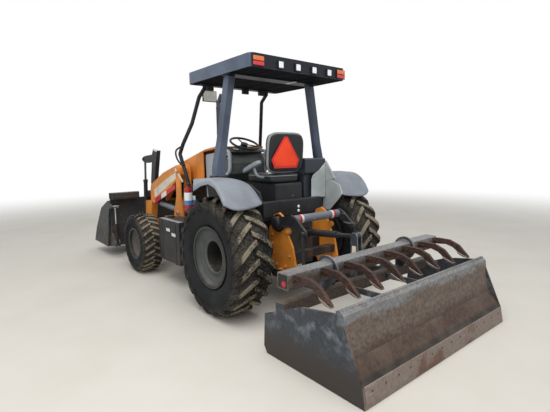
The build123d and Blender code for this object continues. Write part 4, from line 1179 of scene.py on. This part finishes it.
# The hood has pressed louvres and a latch on each side. Its nose holds the grille's moulded bars
# and two head lamps, clear glass in chromed rings.
hood_marks = []
for side in (-1, 1):
    for number in range(9):
        y, z = 1270 + number * 64, 1392 + 3 * number
        hood_marks.append(plate(
            rounded(0.017, 0.130, 0.008), spot(side * 370 - (0 if side > 0 else 7), y, z),
            AHEAD, UP, 0.007, 0.003,
        ))
    hood_marks.append(plate(
        rounded(0.05, 0.02, 0.006), spot(side * 370 - (0 if side > 0 else 12), 2080, 1330),
        AHEAD, UP, 0.012, 0.004,
    ))
add("hood_louvres", hood_marks, orange, "hood_body")
bars, rings, lights = [], [], []
for number in range(7):
    bars.append(plate(
        rounded(0.250, 0.012, 0.004), spot(0, 2414, 1035 + number * 25), -ACROSS, UP, 0.012, 0.003
    ))
for side in (-1, 1):
    rings.append(turned(
        spot(side * 205, 2413, 1110), AHEAD,
        [(0.0, 0.074), (0.012, 0.074), (0.018, 0.070), (0.018, 0.063), (0.004, 0.062)], 40,
    ))
    lights.append(turned(
        spot(side * 205, 2416, 1110), AHEAD,
        [(0.0, 0.062), (0.006, 0.062), (0.012, 0.050), (0.015, 0.028), (0.016, 0.008)], 40,
    ))
add("grille_bars", bars, plastic, "hood_body")
add("head_lamp_rings", rings, chrome, "hood_body")
add("head_lamp_glass", lights, white_lens, "hood_body", smooth=True)


# Two steel straps hold each side tank, which has a filler cap and a worn step on top and, on the
# left, two small blank plates. The platform has a ribbed rubber mat.
tank_bits, small_plates, mats, steps = [], [], [], []
for side in (-1, 1):
    for y in (1060, 1440):
        tank_bits.append(plate(
            rounded(0.030, 0.552, 0.006), spot(side * 882 - 2, y, 570), AHEAD, UP, 0.004, 0.001
        ))
    tank_bits.append(turned(
        spot(side * 740, 1460, 839), UP, [(0.0, 0.045), (0.022, 0.045), (0.028, 0.038)], 28
    ))
    steps.append(plate(
        rounded(0.066, 0.560, 0.008), spot(side * 846, 1250, 839.5), ACROSS, AHEAD, 0.004, 0.0015
    ))
for y, z in ((1255, 718), (1100, 672)):
    small_plates.append(plate(
        rounded(0.11, 0.040, 0.004), spot(-884, y, z), -AHEAD, UP, 0.002, 0.0006
    ))
for number in range(9):
    mats.append(plate(
        rounded(0.30, 0.012, 0.004), spot(-405, 470 + number * 23, 974), ACROSS, AHEAD,
        0.004, 0.0015,
    ))
add("tank_straps", tank_bits, black)
add("tank_plates", small_plates, label_white)
add("tank_steps", steps, arm_grey)
add("step_mat", mats, plastic)


# The extinguisher is a red steel bottle with a white and a blue band, strapped on beside the left
# fender. Its black turned valve has a pressed lever.
dress(banded(
    "bottle_red", 2, (1.052, 1.108, 1.205),
    (shade(176, 28, 36), shade(66, 128, 184), shade(232, 234, 234), shade(170, 30, 38)), 0.65,
), "extinguisher")
valve = [
    turned(
        spot(-720, 980, 1288), UP,
        [(0.0, 0.020), (0.010, 0.022), (0.022, 0.022), (0.030, 0.014)], 20,
    ),
    plate(
        np.array([(940, 1300), (1016, 1312), (1018, 1322), (938, 1314)]) / 1000,
        spot(-730, 0, 0), AHEAD, UP, 0.020, 0.003,
    ),
]
add("extinguisher_valve", valve, black)


# Industrial tyres with slanted lugs, black on the sides and dusty tan on the lugs, sit on pressed
# black rims. Each tyre is one moulded rubber carcass with its lugs standing on the crown.
def tyre_rubber(name, hub, radius):
    """Tyre rubber: black sidewalls with faint rings of dust, tan soil on the crown of the lugs and
    brown between them, told apart by the distance from the wheel's axis."""
    material, shader, at, facing = blank(name)
    parts = at.node("ShaderNodeMapping", {}, {"Vector": at, "Location": (0.0, -hub[0], -hub[1])})
    parts = parts.node(
        "ShaderNodeVectorMath", {"operation": "MULTIPLY"}, {0: parts, 1: (0.0, 1.0, 1.0)}
    )
    out = at.node("ShaderNodeVectorMath", {"operation": "LENGTH"}, {0: parts}, 1)
    clouds = at.noise(4.0, 6.0)
    fine = at.noise(60.0, 4.0)
    base = clouds.rise(0.3, 0.7).blend(shade(20, 21, 23), shade(36, 37, 39))
    crown = out.rise(radius - 0.016, radius - 0.004) * (clouds + (fine - 0.5) * 0.8).rise(0.3, 0.6)
    dirt = out.rise(radius * 0.8, radius * 0.9) * (fine + clouds * 0.5).rise(0.62, 0.95)
    coat = (dirt * 0.5).blend(base, shade(104, 94, 78))
    coat = (crown * 0.85).blend(coat, shade(142, 132, 112))
    bump = fine.relief(0.4, 0.003)
    feed(
        shader, Base_Color=coat, Roughness=0.76 + fine * 0.2, Normal=bump, Specular_IOR_Level=0.25
    )
    return material


def carcass(hub, x, radius, half, bead, count):
    """A tyre's body: the half profile, from bead over the bulging sidewall to the crown, is
    mirrored and closed inside, then turned about the axis through hub."""
    outside = smooth_line([
        (0.0, radius), (0.55 * half, radius), (0.82 * half, radius - 0.012),
        (0.97 * half, radius * 0.9 + bead * 0.1), (1.0 * half, radius * 0.6 + bead * 0.4),
        (0.93 * half, bead + 0.06), (0.80 * half, bead + 0.012), (0.72 * half, bead),
    ], 22)
    line = np.concatenate([outside[::-1] * (-1, 1), outside[1:]])
    turn = full_turn(count)[:, None]
    points = np.stack([
        np.broadcast_to(x + line[:, 0], (count, len(line))),
        hub[0] + np.sin(turn) * line[:, 1], hub[1] + np.cos(turn) * line[:, 1],
    ], axis=-1)
    return points, patch(count, len(line), ring=True, loop=True)


def lugs(hub, x, radius, half, number, width, depth, slant):
    """The lugs of one tyre. Each runs from just over the middle of the crown out to the shoulder
    and down it; along it the place around the wheel turns back by slant. Its section is a block
    with leaning flanks and rounded top edges, closed at both ends."""
    along = np.linspace(0.0, 1.0, 12)
    across = smooth_line([
        (-0.06 * half, radius), (0.6 * half, radius), (0.90 * half, radius - 0.006),
        (1.0 * half, radius - 0.055), (1.03 * half, radius - 0.125),
    ], 12)
    section = np.array([
        (-0.68, -1.25), (-0.56, -0.35), (-0.48, -0.05), (-0.40, 0.0), (0.40, 0.0),
        (0.48, -0.05), (0.56, -0.35), (0.68, -1.25),
    ])
    lean = unit(np.gradient(across, axis=0))
    outward = np.stack([-lean[:, 1], lean[:, 0]], axis=1)
    thin = np.clip(1.0 - 0.5 * np.clip(along - 0.75, 0, 1) / 0.25, 0, 1)
    spread = width * (0.86 + 0.30 * along)
    sink = depth * thin
    swing = slant * (along ** 1.15)
    step = 2 * math.pi / number
    made = []
    for side in (-1, 1):
        start = np.arange(number) * step + (step / 2 if side > 0 else 0.0)
        cross = across[:, None, 0] + outward[:, None, 0] * section[None, :, 1] * sink[:, None]
        high = across[:, None, 1] + outward[:, None, 1] * section[None, :, 1] * sink[:, None]
        bend = (section[None, :, 0] * spread[:, None]) / high
        angle = start[:, None, None] - (swing[:, None] + bend)[None]
        high = np.broadcast_to(high, angle.shape)
        cross = np.broadcast_to(x + side * cross, angle.shape)
        block = np.stack([
            cross, hub[0] + np.sin(angle) * high, hub[1] + np.cos(angle) * high
        ], axis=-1)
        for points, faces in map(stack, block):
            made.append((points, [face[::-1] for face in faces] if side > 0 else faces))
    return gather(made)


# Each axle's tyre radius, which is its hub's height too, how far out its tyres' middles stand, and
# its hub's place ahead and up.
REAR_RADIUS, FRONT_RADIUS = 0.620, 0.415
REAR_TRACK, FRONT_TRACK = 0.840, 0.885
REAR_HUB, FRONT_HUB = (REAR_AXLE, REAR_RADIUS), (1.115, FRONT_RADIUS)
for axle, hub, track, radius, half, bead, number, width, depth, slant, count in (
    ("rear", REAR_HUB, REAR_TRACK, REAR_RADIUS, 0.2225, 0.325, 21, 0.058, 0.036, 0.42, 144),
    ("front", FRONT_HUB, FRONT_TRACK, FRONT_RADIUS, 0.155, 0.215, 26, 0.034, 0.020, 0.34, 120),
):
    for place, x in ((axle + "_left", -track), (axle + "_right", track)):
        rubber = tyre_rubber(place + "_rubber", hub, radius)
        body = carcass(hub, x, radius - depth, half * 0.965, bead, count)
        tyre = add(place + "_carcass", [body], rubber, place + "_wheel", smooth=True)
        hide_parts(place + "_tyre")
        blocks = lugs(hub, x, radius, half * 0.975, number, width, depth, slant)
        add(place + "_lugs", [blocks], rubber, place + "_wheel")
rim = painted("rim_paint", shade(40, 42, 44), RUST, 0.45, 0.25, 0.68, 0.3)
dress(rim, "rear_left_rim", "rear_right_rim", "front_left_rim", "front_right_rim")


# Pressed steel dishes close the rims. The rear one is a wide ring just inside the lip, stepped
# and welded to the disc by a tube round a deep centre, and wheel nuts hold each disc.
# Nearer the middle than 0.945 m the rear dish is painted near black: a painted shade in its deep
# centre.
rear_dish_paint = painted(
    "rear_dish_paint", shade(72, 78, 76), RUST, 0.4, 0.3, 0.7, 0.35,
    inner=(0.945, shade(17, 18, 19)),
)
front_dish_paint = painted("front_dish_paint", shade(84, 80, 78), RUST, 0.4, 0.4, 0.66, 0.4)
# Profiles in metres: outwards from the tyre's middle, and the radius there.
REAR_DISH = np.array([
    (172, 294.5), (150, 291), (128, 276), (120, 258), (122, 250), (112, 244), (106, 214),
    (112, 190), (124, 180), (122, 166), (100, 158), (40, 152), (-113, 150),
]) / 1000
FRONT_DISH = np.array([
    (92, 199.5), (76, 196), (50, 180), (30, 160), (22, 130), (0, 118), (-40, 114), (-43, 112),
]) / 1000
for axle, hub, track, dish, dish_paint, disc, nut_ring, number, nut in (
    ("rear", REAR_HUB, REAR_TRACK, REAR_DISH, rear_dish_paint, 0.7705, 0.092, 8, 0.026),
    ("front", FRONT_HUB, FRONT_TRACK, FRONT_DISH, front_dish_paint, 0.8915, 0.062, 6, 0.020),
):
    line = smooth_line(dish, 48)
    along = unit(np.gradient(line, axis=0))
    back = line + 0.005 * np.stack([along[:, 1], -along[:, 0]], axis=1)
    profile = np.concatenate([line, back[::-1]])
    profile[:, 1] = np.minimum(profile[:, 1], dish[0, 1])
    turn = np.arange(number) * 2 * math.pi / number
    for place, side in ((axle + "_left", -1), (axle + "_right", 1)):
        ring = turned((side * track, *hub), (side, 0, 0), profile, 96, True)
        add(place + "_dish", [ring], dish_paint, place + "_wheel", smooth=True)
        nuts = [
            bolt(
                (side * disc, hub[0] + nut_ring * sine, hub[1] + nut_ring * cosine),
                (side, 0, 0), nut,
            ) for sine, cosine in zip(np.sin(turn), np.cos(turn))
        ]
        add(place + "_nuts", nuts, rim, place + "_wheel")
